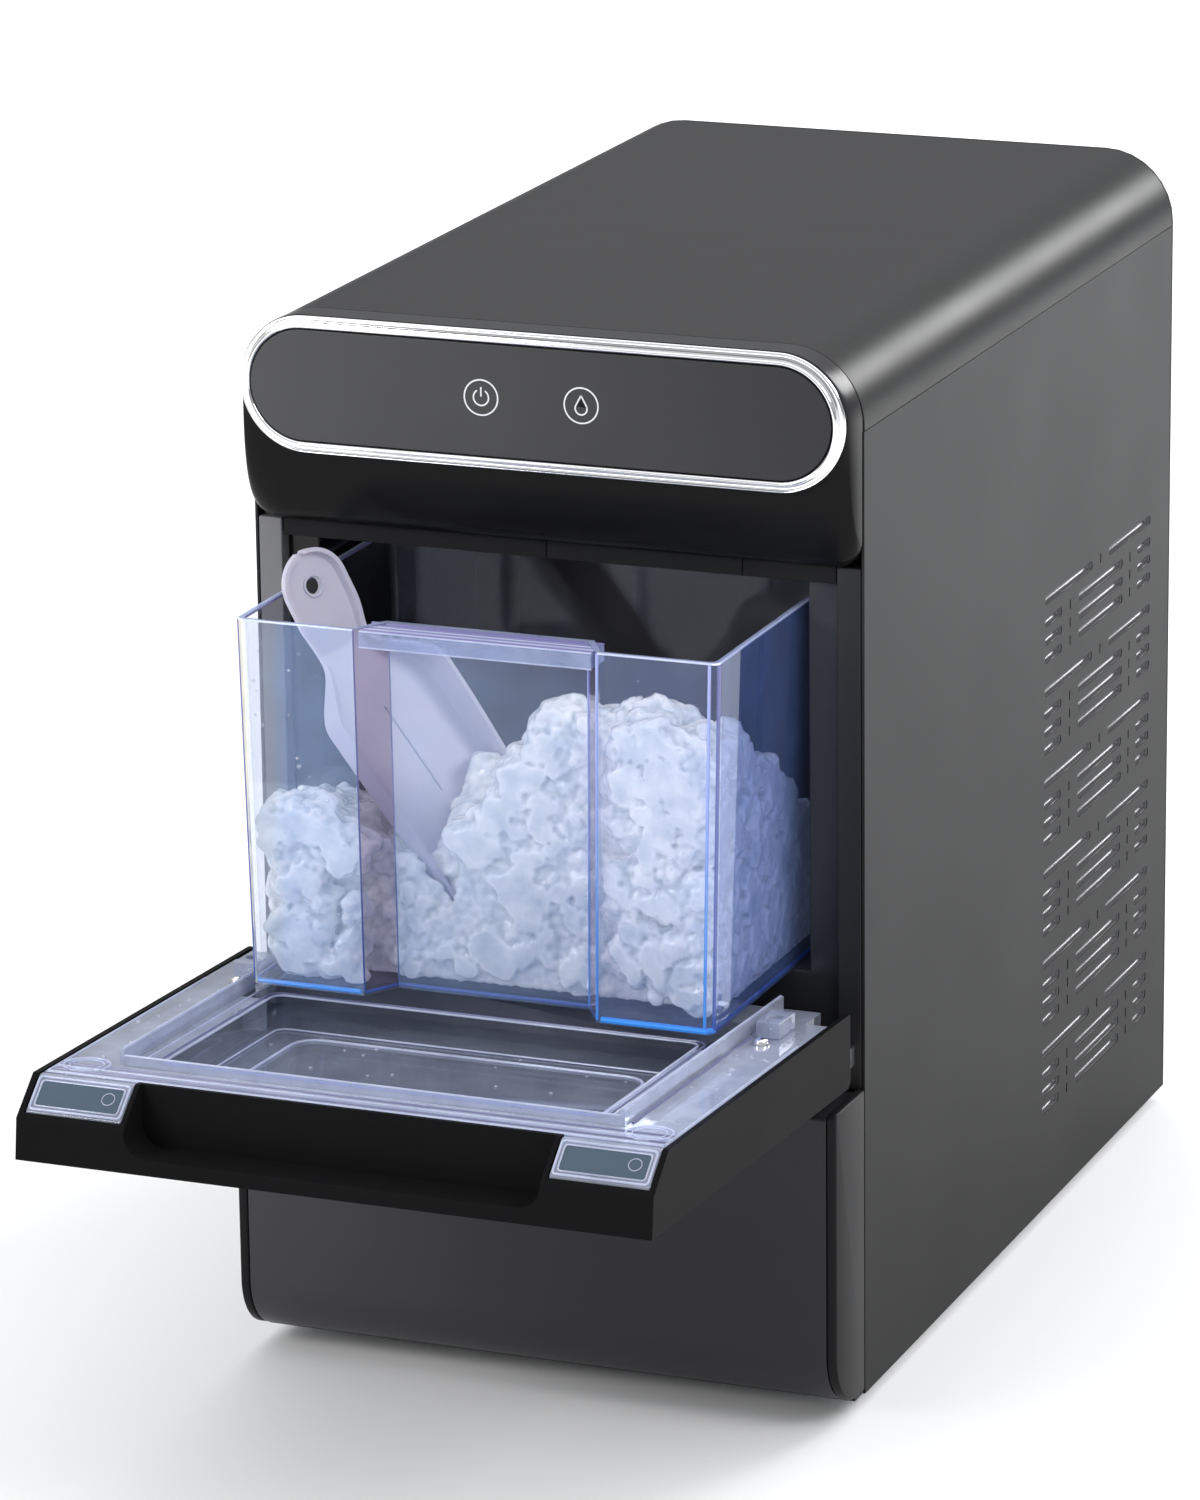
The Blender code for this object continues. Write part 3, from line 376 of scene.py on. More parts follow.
def edge_material(name, stops, glow=0.3):
    """Light piped along a clear edge: its colour changes with the height on the bin."""
    made = plain(name, (0.1, 0.3, 0.8), 0.08, Coat_Weight=0.6, Emission_Strength=glow)
    reach = 0.02
    place = uneven(made, "Z", 70.0, reach)
    height = ranged(made, place, 0, 1, BIN_LOW.z + reach / 2, BIN_HIGH.z + reach / 2)
    colour = ramped(made, height, stops)
    drive(made, Base_Color=colour, Emission_Color=colour)
    return made


COAT = textured("graphite_coat", (0.017, 0.0172, 0.018), 0.36, IOR=1.2)
# Painted shade: the side coat is darker towards the foot and lighter towards the top, as the light falls from
# above.
SIDE = textured("side_coat", (0.020, 0.0202, 0.021), 0.40, IOR=1.16, painted_light=("Z", BASE, SEAM, 0.5, 1.5))
# Painted highlight: the louvre lips are a much lighter copy of the side coat, standing in for the light they
# catch.
LIP_HIGHLIGHT = textured("louvre_painted_highlight", (0.11, 0.11, 0.115), 0.26, IOR=1.45)
# Painted light: the touch panel is lighter on the left and darker on the right, as the key light falls from the
# front left.
PANEL = textured("panel_coat", (0.050, 0.050, 0.052), 0.34, IOR=1.3, painted_light=("X", -HALF, HALF, 1.35, 0.55))
# Painted light: the lower front panel is lighter on the left and darker on the right, as the key light falls from
# the front left.
APRON = textured(
    "front_coat", (0.042, 0.041, 0.046), 0.36, IOR=1.3, stretch=(0.12, 1, 1), vary=0.08,
    painted_light=("X", -HALF, HALF, 1.15, 0.6),
)
DOOR_FINISH = textured("door_black", (0.007, 0.007, 0.0075), 0.42, grain=1900, depth=0.00004, IOR=1.09)
SATIN = textured("satin_black_plastic", (0.013, 0.013, 0.014), 0.34, grain=1900, depth=0.00004, IOR=1.16)
# Painted shade: the head is darker below the ring, where it turns down, and lighter above it.
HEAD = textured(
    "head_satin", (0.020, 0.020, 0.021), 0.24, grain=2200, depth=0.00002, IOR=1.18,
    painted_light=("Z", RING_Z - 0.02, RING_Z + 0.02, 0.25, 1.6),
)
# Painted light: the posts are bright on the left and dark on the right, as the key light falls from the front
# left.
POST = textured("post_coat", (0.085, 0.085, 0.087), 0.4, IOR=1.3, painted_light=("X", -HALF, HALF, 2.2, 0.2))
# Painted shade and reflection: the cavity liner is darker on the left and lighter towards the right.
LINER = textured(
    "liner_black", (0.020, 0.020, 0.022), 0.17, grain=300, depth=0.00002, IOR=1.34,
    painted_light=("X", -0.11, 0.10, 0.15, 1.9),
)
CHROME = textured("chrome", (0.90, 0.90, 0.91), 0.06, 1.0, grain=500, depth=0.000004, vary=0.02)
STEEL = textured("plain_steel", (0.55, 0.56, 0.58), 0.32, 1.0, grain=900, stretch=(1, 0.05, 1))
ALUMINIUM = textured("mill_aluminium", (0.75, 0.76, 0.78), 0.36, 1.0, grain=1200)
COPPER = textured("copper", (0.72, 0.38, 0.22), 0.28, 1.0, grain=800)
RUBBER = textured("rubber", (0.02, 0.02, 0.02), 0.75, grain=1500, depth=0.0001)
TANK = textured("milky_plastic", (0.82, 0.85, 0.87), 0.42, Subsurface_Weight=0.3, Subsurface_Scale=0.01)
BOARD = textured("solder_mask", (0.03, 0.16, 0.08), 0.35, grain=700)
ENAMEL = textured("black_enamel", (0.02, 0.02, 0.022), 0.25, grain=500, Coat_Weight=0.5)
SCOOP_FINISH = textured(
    "scoop_plastic", (0.56, 0.55, 0.66), 0.34, grain=1400, vary=0.04,
    Subsurface_Weight=0.15, Subsurface_Scale=0.006,
)
PRINT = textured("printed_marks", (0.72, 0.73, 0.75), 0.5, vary=0.02)
# Painted reflection and light: a bright cream band at the left edge, then blue light caught in the front wall,
# fading to the right.
PAINTED_REFLECTION_CREAM = (0.80, 0.78, 0.68)
FRONT_CLEAR = clear(
    "bin_front_plastic", (0.97, 0.98, 1.0), (0.55, 0.62, 0.85), 1.0,
    across=(
        (-0.1020, 0.85, PAINTED_REFLECTION_CREAM),
        (-0.0975, 0.80, PAINTED_REFLECTION_CREAM),
        (-0.0955, 0.32, (0.50, 0.58, 0.72)),
        (-0.0860, 0.24, (0.42, 0.52, 0.72)),
        (-0.0830, 0.22, (0.34, 0.54, 1.0)),
        (-0.0500, 0.21, (0.36, 0.56, 1.0)),
        (0.0000, 0.17, (0.38, 0.55, 0.96)),
        (0.0480, 0.13, (0.30, 0.46, 0.98)),
        (0.1020, 0.10, (0.22, 0.36, 1.0)),
    ),
)
# The haze in each clear finish from here on is painted light caught in its walls, in its own colour.
SIDE_CLEAR = clear("bin_side_plastic", (0.72, 0.77, 0.92), (0.30, 0.36, 0.62), 0.16, (0.13, 0.22, 0.60))
BACK_CLEAR = clear(
    "bin_back_plastic", (0.97, 0.97, 0.98), (0.75, 0.78, 0.85), 0.01, (0.7, 0.7, 0.75), shine=0.5
)
BAY_CLEAR = clear("bay_plastic", (0.76, 0.72, 0.82), (0.44, 0.40, 0.56), 0.20, (0.24, 0.20, 0.30))
TRAY_CLEAR = clear(
    "tray_plastic", (0.88, 0.90, 0.94), (0.60, 0.63, 0.72), 0.34, (0.60, 0.64, 0.77), shine=1.4
)
PAN_CLEAR = clear(
    "pan_plastic", (0.90, 0.92, 0.95), (0.66, 0.70, 0.80), 0.17, (0.54, 0.59, 0.72), shine=1.15
)
# Painted highlight: clear plastic with a strong whitish haze, for the bright beads on the tray's ribs, rings and
# lines and on the bin's ledge.
RIB_CLEAR = clear(
    "rib_highlight_plastic", (0.92, 0.94, 1.0), (0.80, 0.84, 0.95), 0.42, (0.74, 0.78, 0.94), gloss=0.08
)
RIDGE_CLEAR = clear("ridge_plastic", (0.86, 0.88, 0.97), (0.52, 0.60, 0.90), 0.34, (0.52, 0.60, 0.84))
WATER = clear("water_drops", (0.92, 0.94, 0.97), (0.55, 0.60, 0.70), 0.20, (0.85, 0.88, 0.95), shine=1.3)
SMOKED = clear("smoked_plastic", (0.16, 0.17, 0.20), (0.05, 0.05, 0.07), 0.03)
AZURE = edge_material(
    "azure_edge", ((0, (0.03, 0.24, 0.74)), (0.5, (0.03, 0.20, 0.60)), (1, (0.05, 0.16, 0.50)))
)
UPRIGHT = edge_material(
    "upright_edge",
    (
        (0, (0.04, 0.26, 0.76)),
        (0.35, (0.10, 0.27, 0.68)),
        (0.6, (0.24, 0.32, 0.68)),
        (1, (0.34, 0.38, 0.68)),
    ),
    0.18,
)
VIOLET = edge_material(
    "violet_edge", ((0, (0.04, 0.09, 0.36)), (0.5, (0.09, 0.11, 0.32)), (1, (0.16, 0.15, 0.33))), 0.1
)
WHITE_EDGE = textured(
    "white_edge", (0.80, 0.82, 0.92), 0.12, grain=300, vary=0.1,
    Coat_Weight=0.5, Emission_Strength=0.12, Emission_Color=(0.85, 0.88, 1),
)
TRAY_SHADE = textured("tray_shade", (0.16, 0.17, 0.30), 0.15, grain=300, vary=0.1)
TRAY_BLUE = textured(
    "tray_blue", (0.24, 0.30, 0.78), 0.12, grain=300,
    Emission_Strength=0.12, Emission_Color=(0.3, 0.35, 0.9),
)
FIELD = textured("corner_field", (0.045, 0.075, 0.11), 0.10, grain=300, IOR=1.5)
ICE = ice_material()

# ---------------------------------------------------------------- making pieces

WELD = 1e-6  # points this close are one


def weld(mesh):
    shape = bmesh.new()
    shape.from_mesh(mesh)
    bmesh.ops.remove_doubles(shape, verts=shape.verts, dist=WELD)
    bmesh.ops.recalc_face_normals(shape, faces=shape.faces)
    shape.to_mesh(mesh)
    shape.free()


def piece(name, mesh, finish, body, place=None, stands_for=(), sharp=32):
    """A mesh as a named piece that rides on a body; its vertices are put in the frame's own coordinates."""
    if place is not None:
        mesh.transform(place)
    sides = [face.material_index for face in mesh.polygons]
    several = isinstance(finish, (list, tuple))
    mesh.materials.clear()
    for one in finish if several else (finish,):
        mesh.materials.append(one)
    if several:
        mesh.polygons.foreach_set("material_index", sides)
    made = placed(name, mesh)
    mesh.shade_smooth()
    mesh.set_sharp_from_angle(angle=math.radians(sharp))
    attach(made, body)
    if stands_for:
        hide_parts(*stands_for)
    return made


def in_bin(name, mesh, finish):
    return piece(name, mesh, finish, "bin", BIN)


def in_door(name, mesh, finish):
    return piece(name, mesh, finish, "door", DOOR)


def from_bmesh(name, build):
    shape = bmesh.new()
    build(shape)
    bmesh.ops.recalc_face_normals(shape, faces=shape.faces)
    mesh = bpy.data.meshes.new(name)
    shape.to_mesh(mesh)
    shape.free()
    return mesh


def changed(made, kind, **settings):
    """Puts a modifier on a piece."""
    change = made.modifiers.new(kind.lower(), kind)
    for key, value in settings.items():
        setattr(change, key, value)
    return made


def evened(made):
    """Keeps large flat faces flat in shading, beside their rounded edges."""
    return changed(made, "WEIGHTED_NORMAL", keep_sharp=True)


def bevelled(made, width, segments=3, angle=30):
    """Rounds the piece's edges that are sharper than an angle."""
    limit = math.radians(angle)
    return changed(
        made, "BEVEL", width=width, segments=segments,
        limit_method="ANGLE", angle_limit=limit, harden_normals=True,
    )


def bridged(shape, rows, closed=False):
    """Faces between rows of vertices, each row open or closed."""
    for near, far in zip(rows, rows[1:]):
        for i in range(len(near) - (0 if closed else 1)):
            j = (i + 1) % len(near)
            shape.faces.new((near[i], near[j], far[j], far[i]))


def plate(points, thickness, soft=0.0004, holes=()):
    """A filled outline with thickness and rounded edges, as a mesh about its own middle plane."""
    curve = bpy.data.curves.new("outline", "CURVE")
    curve.dimensions = "2D"
    curve.fill_mode = "BOTH"
    curve.extrude = thickness / 2 - soft
    curve.bevel_depth = soft
    curve.bevel_resolution = 2
    curve.offset = -soft
    for loop in (points, *holes):
        spline = curve.splines.new("POLY")
        spline.points.add(len(loop) - 1)
        for point, at in zip(spline.points, loop):
            point.co = (at[0], at[1], 0, 1)
        spline.use_cyclic_u = True
    guide = placed("outline", curve)
    bpy.context.view_layer.update()
    mesh = bpy.data.meshes.new_from_object(guide.evaluated_get(bpy.context.evaluated_depsgraph_get()))
    bpy.data.objects.remove(guide)
    bpy.data.curves.remove(curve)
    weld(mesh)
    return mesh


def arc(middle, radius, start, end, steps):
    """Points of an arc, the angles in degrees, both ends included."""
    angles = [math.radians(start + (end - start) * i / steps) for i in range(steps + 1)]
    return [(middle[0] + radius * math.cos(a), middle[1] + radius * math.sin(a)) for a in angles]


def rounded(low, high, radius, steps=6):
    (x0, y0), (x1, y1) = low, high
    r = radius
    return (
        arc((x1 - r, y0 + r), r, -90, 0, steps) + arc((x1 - r, y1 - r), r, 0, 90, steps)
        + arc((x0 + r, y1 - r), r, 90, 180, steps) + arc((x0 + r, y0 + r), r, 180, 270, steps)
    )


def stadium(half_long, radius, middle=(0, 0), steps=24):
    reach = half_long - radius
    x, z = middle
    return arc((x + reach, z), radius, -90, 90, steps) + arc((x - reach, z), radius, 90, 270, steps)


def arch(half, top, radius, foot, steps=20):
    return [
        (half, foot),
        *arc((half - radius, top - radius), radius, 0, 90, steps),
        *arc((-half + radius, top - radius), radius, 90, 180, steps),
        (-half, foot),
    ]


def swept(path, section, closed=True):
    """A closed section carried along a path; section gives its points for each item of the path."""

    def build(shape):
        loops = [[shape.verts.new(p) for p in section(at)] for at in path]
        bridged(shape, loops + loops[:1] if closed else loops, True)
        if not closed:
            shape.faces.new(loops[0])
            shape.faces.new(loops[-1])

    return from_bmesh("swept", build)


def boxes(corners):
    """One mesh of several boxes, each given by its low and high corners."""

    def build(shape):
        for low, high in corners:
            low, high = Vector(low), Vector(high)
            made = bmesh.ops.create_cube(shape, size=1.0)["verts"]
            bmesh.ops.scale(shape, vec=high - low, verts=made)
            bmesh.ops.translate(shape, vec=(low + high) / 2, verts=made)

    return from_bmesh("boxes", build)


def rod(start, end, radius, sides):
    start, end = Vector(start), Vector(end)
    turn = (end - start).to_track_quat("Z", "Y").to_matrix().to_4x4()
    place = Matrix.Translation((start + end) / 2) @ turn

    def build(shape):
        bmesh.ops.create_cone(
            shape, cap_ends=True, segments=sides, depth=(end - start).length,
            radius1=radius, radius2=radius, matrix=place,
        )

    return from_bmesh("rod", build)


def body_of(name):
    bodies = frame["record"]["behaviour"]["bodies"]
    return next(body for body, members in bodies.items() if name in members)


def refined(name, finish, soft=0.0005, segments=2):
    """A CAD solid with its flat faces made whole again and its edges rounded."""
    shape = bmesh.new()
    shape.from_mesh(frame["nodes"][name].data)
    bmesh.ops.remove_doubles(shape, verts=shape.verts, dist=WELD)
    bmesh.ops.dissolve_limit(shape, angle_limit=math.radians(1), verts=shape.verts, edges=shape.edges)
    mesh = bpy.data.meshes.new(name + "_fine")
    shape.to_mesh(mesh)
    shape.free()
    made = piece(name + "_fine", mesh, finish, body_of(name), None, (name,))
    return bevelled(made, soft, segments, 38) if soft else made


# ---------------------------------------------------------------- cabinet


VENT_GROUPS = 6
VENT_TOP = BASE + 0.2725
VENT_STEP = 0.0403
VENT_ROWS = (0.0, 0.0098, 0.0178, 0.0257)
VENT_LONG = ((0.226, 0.291), (0.314, 0.374))
VENT_SHORT = ((0.226, 0.249), (0.272, 0.334), (0.355, 0.374))
VENT_HIGH = 0.0040
TICK_HIGH, TICK_WIDE = 0.0042, 0.0011
# Painted shade: how far the dark sheet behind the vents stands in from the panel, and half its thickness.
SHADE_SHEET_IN, SHADE_SHEET_HALF = 0.0062, 0.0004


def vent_slots():
    """Each slot as its two ends and its height up the panel, and each tick between slots as a place."""
    slots, ticks = [], []
    for group in range(VENT_GROUPS):
        for row, drop in enumerate(VENT_ROWS):
            z = VENT_TOP - group * VENT_STEP - drop
            spans = VENT_SHORT if row else VENT_LONG
            slots += [(FRONT + a, FRONT + b, z) for a, b in spans]
            ticks += [(FRONT + (left[1] + right[0]) / 2, z) for left, right in zip(spans, spans[1:])]
    return slots, ticks


def louvre(shape, x, side, start, end, z):
    """A pressed lip under a slot: a half bowl that is open along its top and closed round its ends."""
    radius, deep, sheet = VENT_HIGH / 2, 0.0026, 0.0004
    stations = [(start + radius, -90 + 15 * i) for i in range(7)]
    stations += [(end - radius, 15 * i) for i in range(7)]
    rows = []
    for y, turn in stations:
        swing = math.radians(turn)
        limit = 12 + 62 * abs(math.sin(swing))
        row = []
        for i in range(8):
            v = math.radians(-90 + (90 + limit) * i / 7)
            out = deep * math.cos(v) * math.cos(swing)
            along = y + radius * math.cos(v) * math.sin(swing)
            row.append(shape.verts.new((x - side * (sheet + out), along, z + radius * math.sin(v))))
        rows.append(row)
    bridged(shape, rows)


def side_panels():
    slots, ticks = vent_slots()
    for side, name in ((-1, "left"), (1, "right")):
        low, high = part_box(f"{name}_side_panel")
        thick = high.x - low.x
        outer = [(low.y, low.z), (high.y, low.z), (high.y, high.z), (low.y, high.z)]
        r = VENT_HIGH / 2
        holes = [stadium((b - a) / 2, r, ((a + b) / 2, z), 8)[::-1] for a, b, z in slots]
        wide, high_half = TICK_WIDE / 2, TICK_HIGH / 2
        holes += [
            rounded((y - wide, z - high_half), (y + wide, z + high_half), 0.0003, 2)[::-1] for y, z in ticks
        ]
        sheet = plate(outer, thick, 0.0002, holes)
        middle = Matrix.Translation(((low.x + high.x) / 2, 0, 0)) @ YZ
        solid = f"{name}_side_panel"
        evened(piece(f"{name}_side_sheet", sheet, SIDE, "cabinet", middle, (solid,)))
        x = side * HALF

        def build(shape):
            for a, b, z in slots:
                louvre(shape, x, side, a, b, z)

        # The lips take the lighter finish: painted highlight.
        lips = piece(f"{name}_side_louvres", from_bmesh("louvres", build), LIP_HIGHLIGHT, "cabinet")
        changed(lips, "SOLIDIFY", thickness=0.0003, offset=0)
        # Painted shade: a dark sheet inside the vents stands in for the shade behind the slots.
        inside = x - side * SHADE_SHEET_IN
        back = boxes([(
            (inside - SHADE_SHEET_HALF, FRONT + 0.222, VENT_TOP - 0.242),
            (inside + SHADE_SHEET_HALF, FRONT + 0.378, VENT_TOP + 0.006),
        )])
        bevelled(piece(f"{name}_vent_shade_sheet", back, RUBBER, "cabinet"), 0.0002)


SHOULDER = 0.031  # the radius where the top turns down into the sides


def top_cover():
    low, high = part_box("top_cover")
    skin, corner = 0.002, SHOULDER
    shell = arch(HALF, TOP, corner, SEAM) + arch(HALF - skin, TOP - skin, corner - skin, SEAM)[::-1]
    long = high.y - low.y
    place = Matrix.Translation((0, (low.y + high.y) / 2, 0)) @ XZ
    mesh = plate(shell, long, 0.0005)
    evened(piece("top_cover_shell", mesh, COAT, "cabinet", place, ("top_cover",)))


HEAD_LOW, HEAD_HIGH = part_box("head_housing")
HEAD_DEEP = HEAD_HIGH.y - HEAD_LOW.y


def head_section(out):
    """The head's outline where it stands out by this share of its depth."""
    bulge = math.sqrt(max(0.0, 1 - out * out))
    ring_foot = RING_Z - RING_RADIUS
    foot = ring_foot - (ring_foot - HEAD_LOW.z) * bulge
    half = RING_HALF - 0.0005 + (HALF - RING_HALF) * bulge
    shoulder = RING_RADIUS - 0.001 + (SHOULDER - RING_RADIUS) * bulge
    toe = 0.011 + (RING_RADIUS - 0.013) * (1 - bulge)
    return (
        arc((half - toe, foot + toe), toe, -90, 0, 12)
        + arc((half - shoulder, TOP - shoulder), shoulder, 0, 90, 16)
        + arc((-half + shoulder, TOP - shoulder), shoulder, 90, 180, 16)
        + arc((-half + toe, foot + toe), toe, 180, 270, 12)
    )


def head():
    angles = [i * 90 / 16 for i in range(17)]
    path = [math.sin(math.radians(a)) for a in angles]

    def section(out):
        return [(x, HEAD_HIGH.y - out * HEAD_DEEP, z) for x, z in head_section(out)]

    mesh = swept(path, section, False)
    piece("head_shell", mesh, HEAD, "cabinet", None, ("head_housing",))


def stadium_path(steps=28, straight=6):
    """Round the ring: each item is a point of the centre line's frame, (x, z) and the outward direction."""
    reach = RING_HALF - RING_RADIUS
    items = []
    for end, start in ((1, -90), (-1, 90)):
        for i in range(steps + 1):
            a = math.radians(start + 180 * i / steps)
            items.append((end * reach, RING_Z, math.cos(a), math.sin(a)))
        for i in range(1, straight):
            x = end * reach * (1 - 2 * i / straight)
            items.append((x, RING_Z, 0, end))
    return items


def trim_ring():
    """Two bright beads with a groove between: a fine one outside and a broad one inside.

    The profile's points are each so far in from the ring's edge and so far out of the panel.
    """
    face = RING_HIGH.y
    profile = [
        (0.0002, 0.0), (0.0, 0.0014), (0.0002, 0.0019), (0.0005, 0.0021), (0.0008, 0.0019),
        (0.0009, 0.0010), (0.0026, 0.0009),
        (0.0028, 0.0028), (0.0032, 0.0037), (0.0038, 0.0041), (0.0044, 0.0039), (0.0050, 0.0032),
        (0.0052, 0.0022), (0.0052, 0.0),
    ]

    def section(item):
        x, z, nx, nz = item
        radii = [(RING_RADIUS - inset, rise) for inset, rise in profile]
        return [(x + nx * radius, face - rise, z + nz * radius) for radius, rise in radii]

    mesh = swept(stadium_path(), section)
    made = piece("trim_ring_plated", mesh, CHROME, "cabinet", None, ("trim_ring",), 60)
    changed(made, "SUBSURF", levels=1, render_levels=1)



def ring_line(middle, radius, width, thick=0.00006):
    """A printed circle: a flat ring of that line width."""
    outer = arc(middle, radius + width / 2, 0, 360 * 47 / 48, 47)
    inner = arc(middle, radius - width / 2, 0, 360 * 47 / 48, 47)[::-1]
    return plate(outer, thick, 0.00001, (inner,))


def stroke(points, width, thick=0.00006):
    """A printed line of even width through points."""
    left, right = [], []
    for i, (x, z) in enumerate(points):
        ahead, behind = points[min(i + 1, len(points) - 1)], points[max(i - 1, 0)]
        dx, dz = ahead[0] - behind[0], ahead[1] - behind[1]
        size = math.hypot(dx, dz)
        nx, nz = -dz / size * width / 2, dx / size * width / 2
        left.append((x + nx, z + nz))
        right.append((x - nx, z - nz))
    return plate(right + left[::-1], thick, 0.00001)


def control_panel():
    low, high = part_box("control_panel")
    radius = (high.z - low.z) / 2
    plate_mesh = plate(stadium(high.x, radius, (0, RING_Z), 40), high.y - low.y, 0.0003)
    middle = Matrix.Translation((0, (low.y + high.y) / 2, 0)) @ XZ
    evened(piece("touch_panel", plate_mesh, PANEL, "cabinet", middle, ("control_panel",)))
    face = Matrix.Translation((0, low.y - 0.00003, 0)) @ XZ
    z = RING_Z + 0.0010
    line = 0.00062
    power, clean = -0.0233, 0.0190
    drop = arc((clean, z - 0.0012), 0.0025, -200, 20, 20)
    tip = (clean, z + 0.0040)
    marks = {
        "power_button_ring": ring_line((power, z), 0.0071, line),
        "clean_button_ring": ring_line((clean, z), 0.0071, line),
        "power_symbol_arc": stroke(arc((power, z), 0.0032, 122, 418, 30), line),
        "power_symbol_bar": stroke([(power, z + 0.0004), (power, z + 0.0042)], line),
        "clean_symbol_drop": stroke([tip, *drop, tip], line),
    }
    for name, mesh in marks.items():
        piece(name, mesh, PRINT, "cabinet", face)


def front_frame():
    for name in ("left_post", "right_post"):
        refined(name, POST, 0.0006)
    low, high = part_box("top_rail")
    gap = 0.0003
    seams = [low.x, -0.004, 0.079, high.x]
    spans = [((a + gap / 2, low.y, low.z), (b - gap / 2, high.y, high.z)) for a, b in zip(seams, seams[1:])]
    strips = piece("top_rail_strips", boxes(spans), SATIN, "cabinet", None, ("top_rail",))
    bevelled(strips, 0.0004)
    refined("cavity_liner", LINER, 0.0016, segments=3)
    refined("ice_level_sensor", SMOKED, 0.0004)


def lower_front():
    low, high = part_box("lower_front_panel")
    skin, toe = 0.0022, 0.026
    top, face, back, foot_z = high.z, low.y, high.y, low.z
    centre = (face + toe, foot_z + toe)
    lip = 0.0016
    outer = [(back, top), *arc((face + lip, top - lip), lip, 90, 180, 5), *arc(centre, toe, 180, 270, 24)]
    inner = [(back, top - skin), (face + skin, top - skin), *arc(centre, toe - skin, 180, 270, 24)]
    sheet = plate(outer + inner[::-1], high.x - low.x, 0.0006)
    evened(piece("lower_front_sheet", sheet, APRON, "cabinet", YZ, ("lower_front_panel",)))
    for name in ("left_cheek", "right_cheek"):
        low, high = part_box(name)
        lip = 0.0022
        shape = [
            (high.y, high.z), *arc((low.y + lip, high.z - lip), lip, 90, 180, 5),
            *arc((low.y + toe, low.z + toe), toe, 180, 270, 24), (high.y, low.z),
        ]
        middle = Matrix.Translation(((low.x + high.x) / 2, 0, 0)) @ YZ
        cheek = plate(shape, high.x - low.x, 0.0009)
        piece(f"{name}_moulding", cheek, SATIN, "cabinet", middle, (name,))
    refined("toe_strip", SATIN, 0.0004)
    for name in ("hinge_arm_left", "hinge_arm_right", "hinge_pin_left", "hinge_pin_right"):
        refined(name, STEEL, 0.0003)


DRAIN_CORNER = (-0.115, 0.02)  # no screw here: the drain's cap needs the room


def back_and_base():
    refined("rear_panel", SIDE, 0.0003)
    refined("base_pan", STEEL, 0.0004)
    for side in ("left", "right"):
        for end in ("front", "rear"):
            refined(f"foot_{end}_{side}", RUBBER, 0.0006)
    outside = BACK + 0.0004
    turn = Matrix.Rotation(-math.pi / 2, 4, "X")
    places = [(x, z) for x in (-0.115, 0.115) for z in (0.02, 0.15, 0.28, 0.39)]
    places.remove(DRAIN_CORNER)

    def build(shape):
        for x, z in places:
            at = Matrix.Translation((x, outside, BASE + z)) @ turn
            bmesh.ops.create_cone(
                shape, cap_ends=True, segments=20, radius1=0.0032, radius2=0.0026, depth=0.0010, matrix=at
            )

    bevelled(piece("rear_screws", from_bmesh("screws", build), STEEL, "cabinet"), 0.0003)


# ---------------------------------------------------------------- door


def on_door(points):
    """Points given as across, out from the hinge and up from the door's outer face, in the door's frame."""
    return [(u, -a, t) for u, a, t in points]


def frame_line(half, near, far, up, radius=0.004):
    """A rounded rectangle on the tray: half its width, where it starts and ends, and its height."""
    corners = rounded((-half, near), (half, far), radius, 4)
    return on_door([(u, a, up) for u, a in corners])


def door():
    refined("door_shell", DOOR_FINISH, 0.0006, segments=3)
    refined("door_window", SMOKED, 0.0005)
    for side in ("left", "right"):
        refined(f"door_magnet_{side}", STEEL, 0.0004)


def tray():
    """The clear inner door: outer flange, raised frame, pan with a bead, and upstands along three sides."""
    liner = refined("door_liner", TRAY_CLEAR, 0.0008, segments=3).data
    # Painted shade: the sunk pan below the fold gets a copy of the clear finish with less painted haze and gloss
    # than the flange.
    liner.materials.append(PAN_CLEAR)
    into_door = DOOR.inverted()
    for face in liner.polygons:
        face.material_index = int((into_door @ face.center).z < TRAY_FOLD)
    for side in ("left", "right"):
        refined(f"door_stop_{side}", TRAY_CLEAR, 0.0004)
        refined(f"door_corner_{side}", TRAY_CLEAR, 0.0006)
    tray_lines()
    tray_hardware()
    corner_frames()


TRAY_TOP = 0.0246  # heights above the door's outer face
TRAY_FOLD = 0.018
TRAY_EDGE, UPSTAND, PAN_EDGE = 0.1262, 0.1030, 0.0905  # distances from the middle
MAGNET = (0.11565, 0.170)  # across, and out from the hinge
STOP_SCREW = (0.1116, 0.0410)


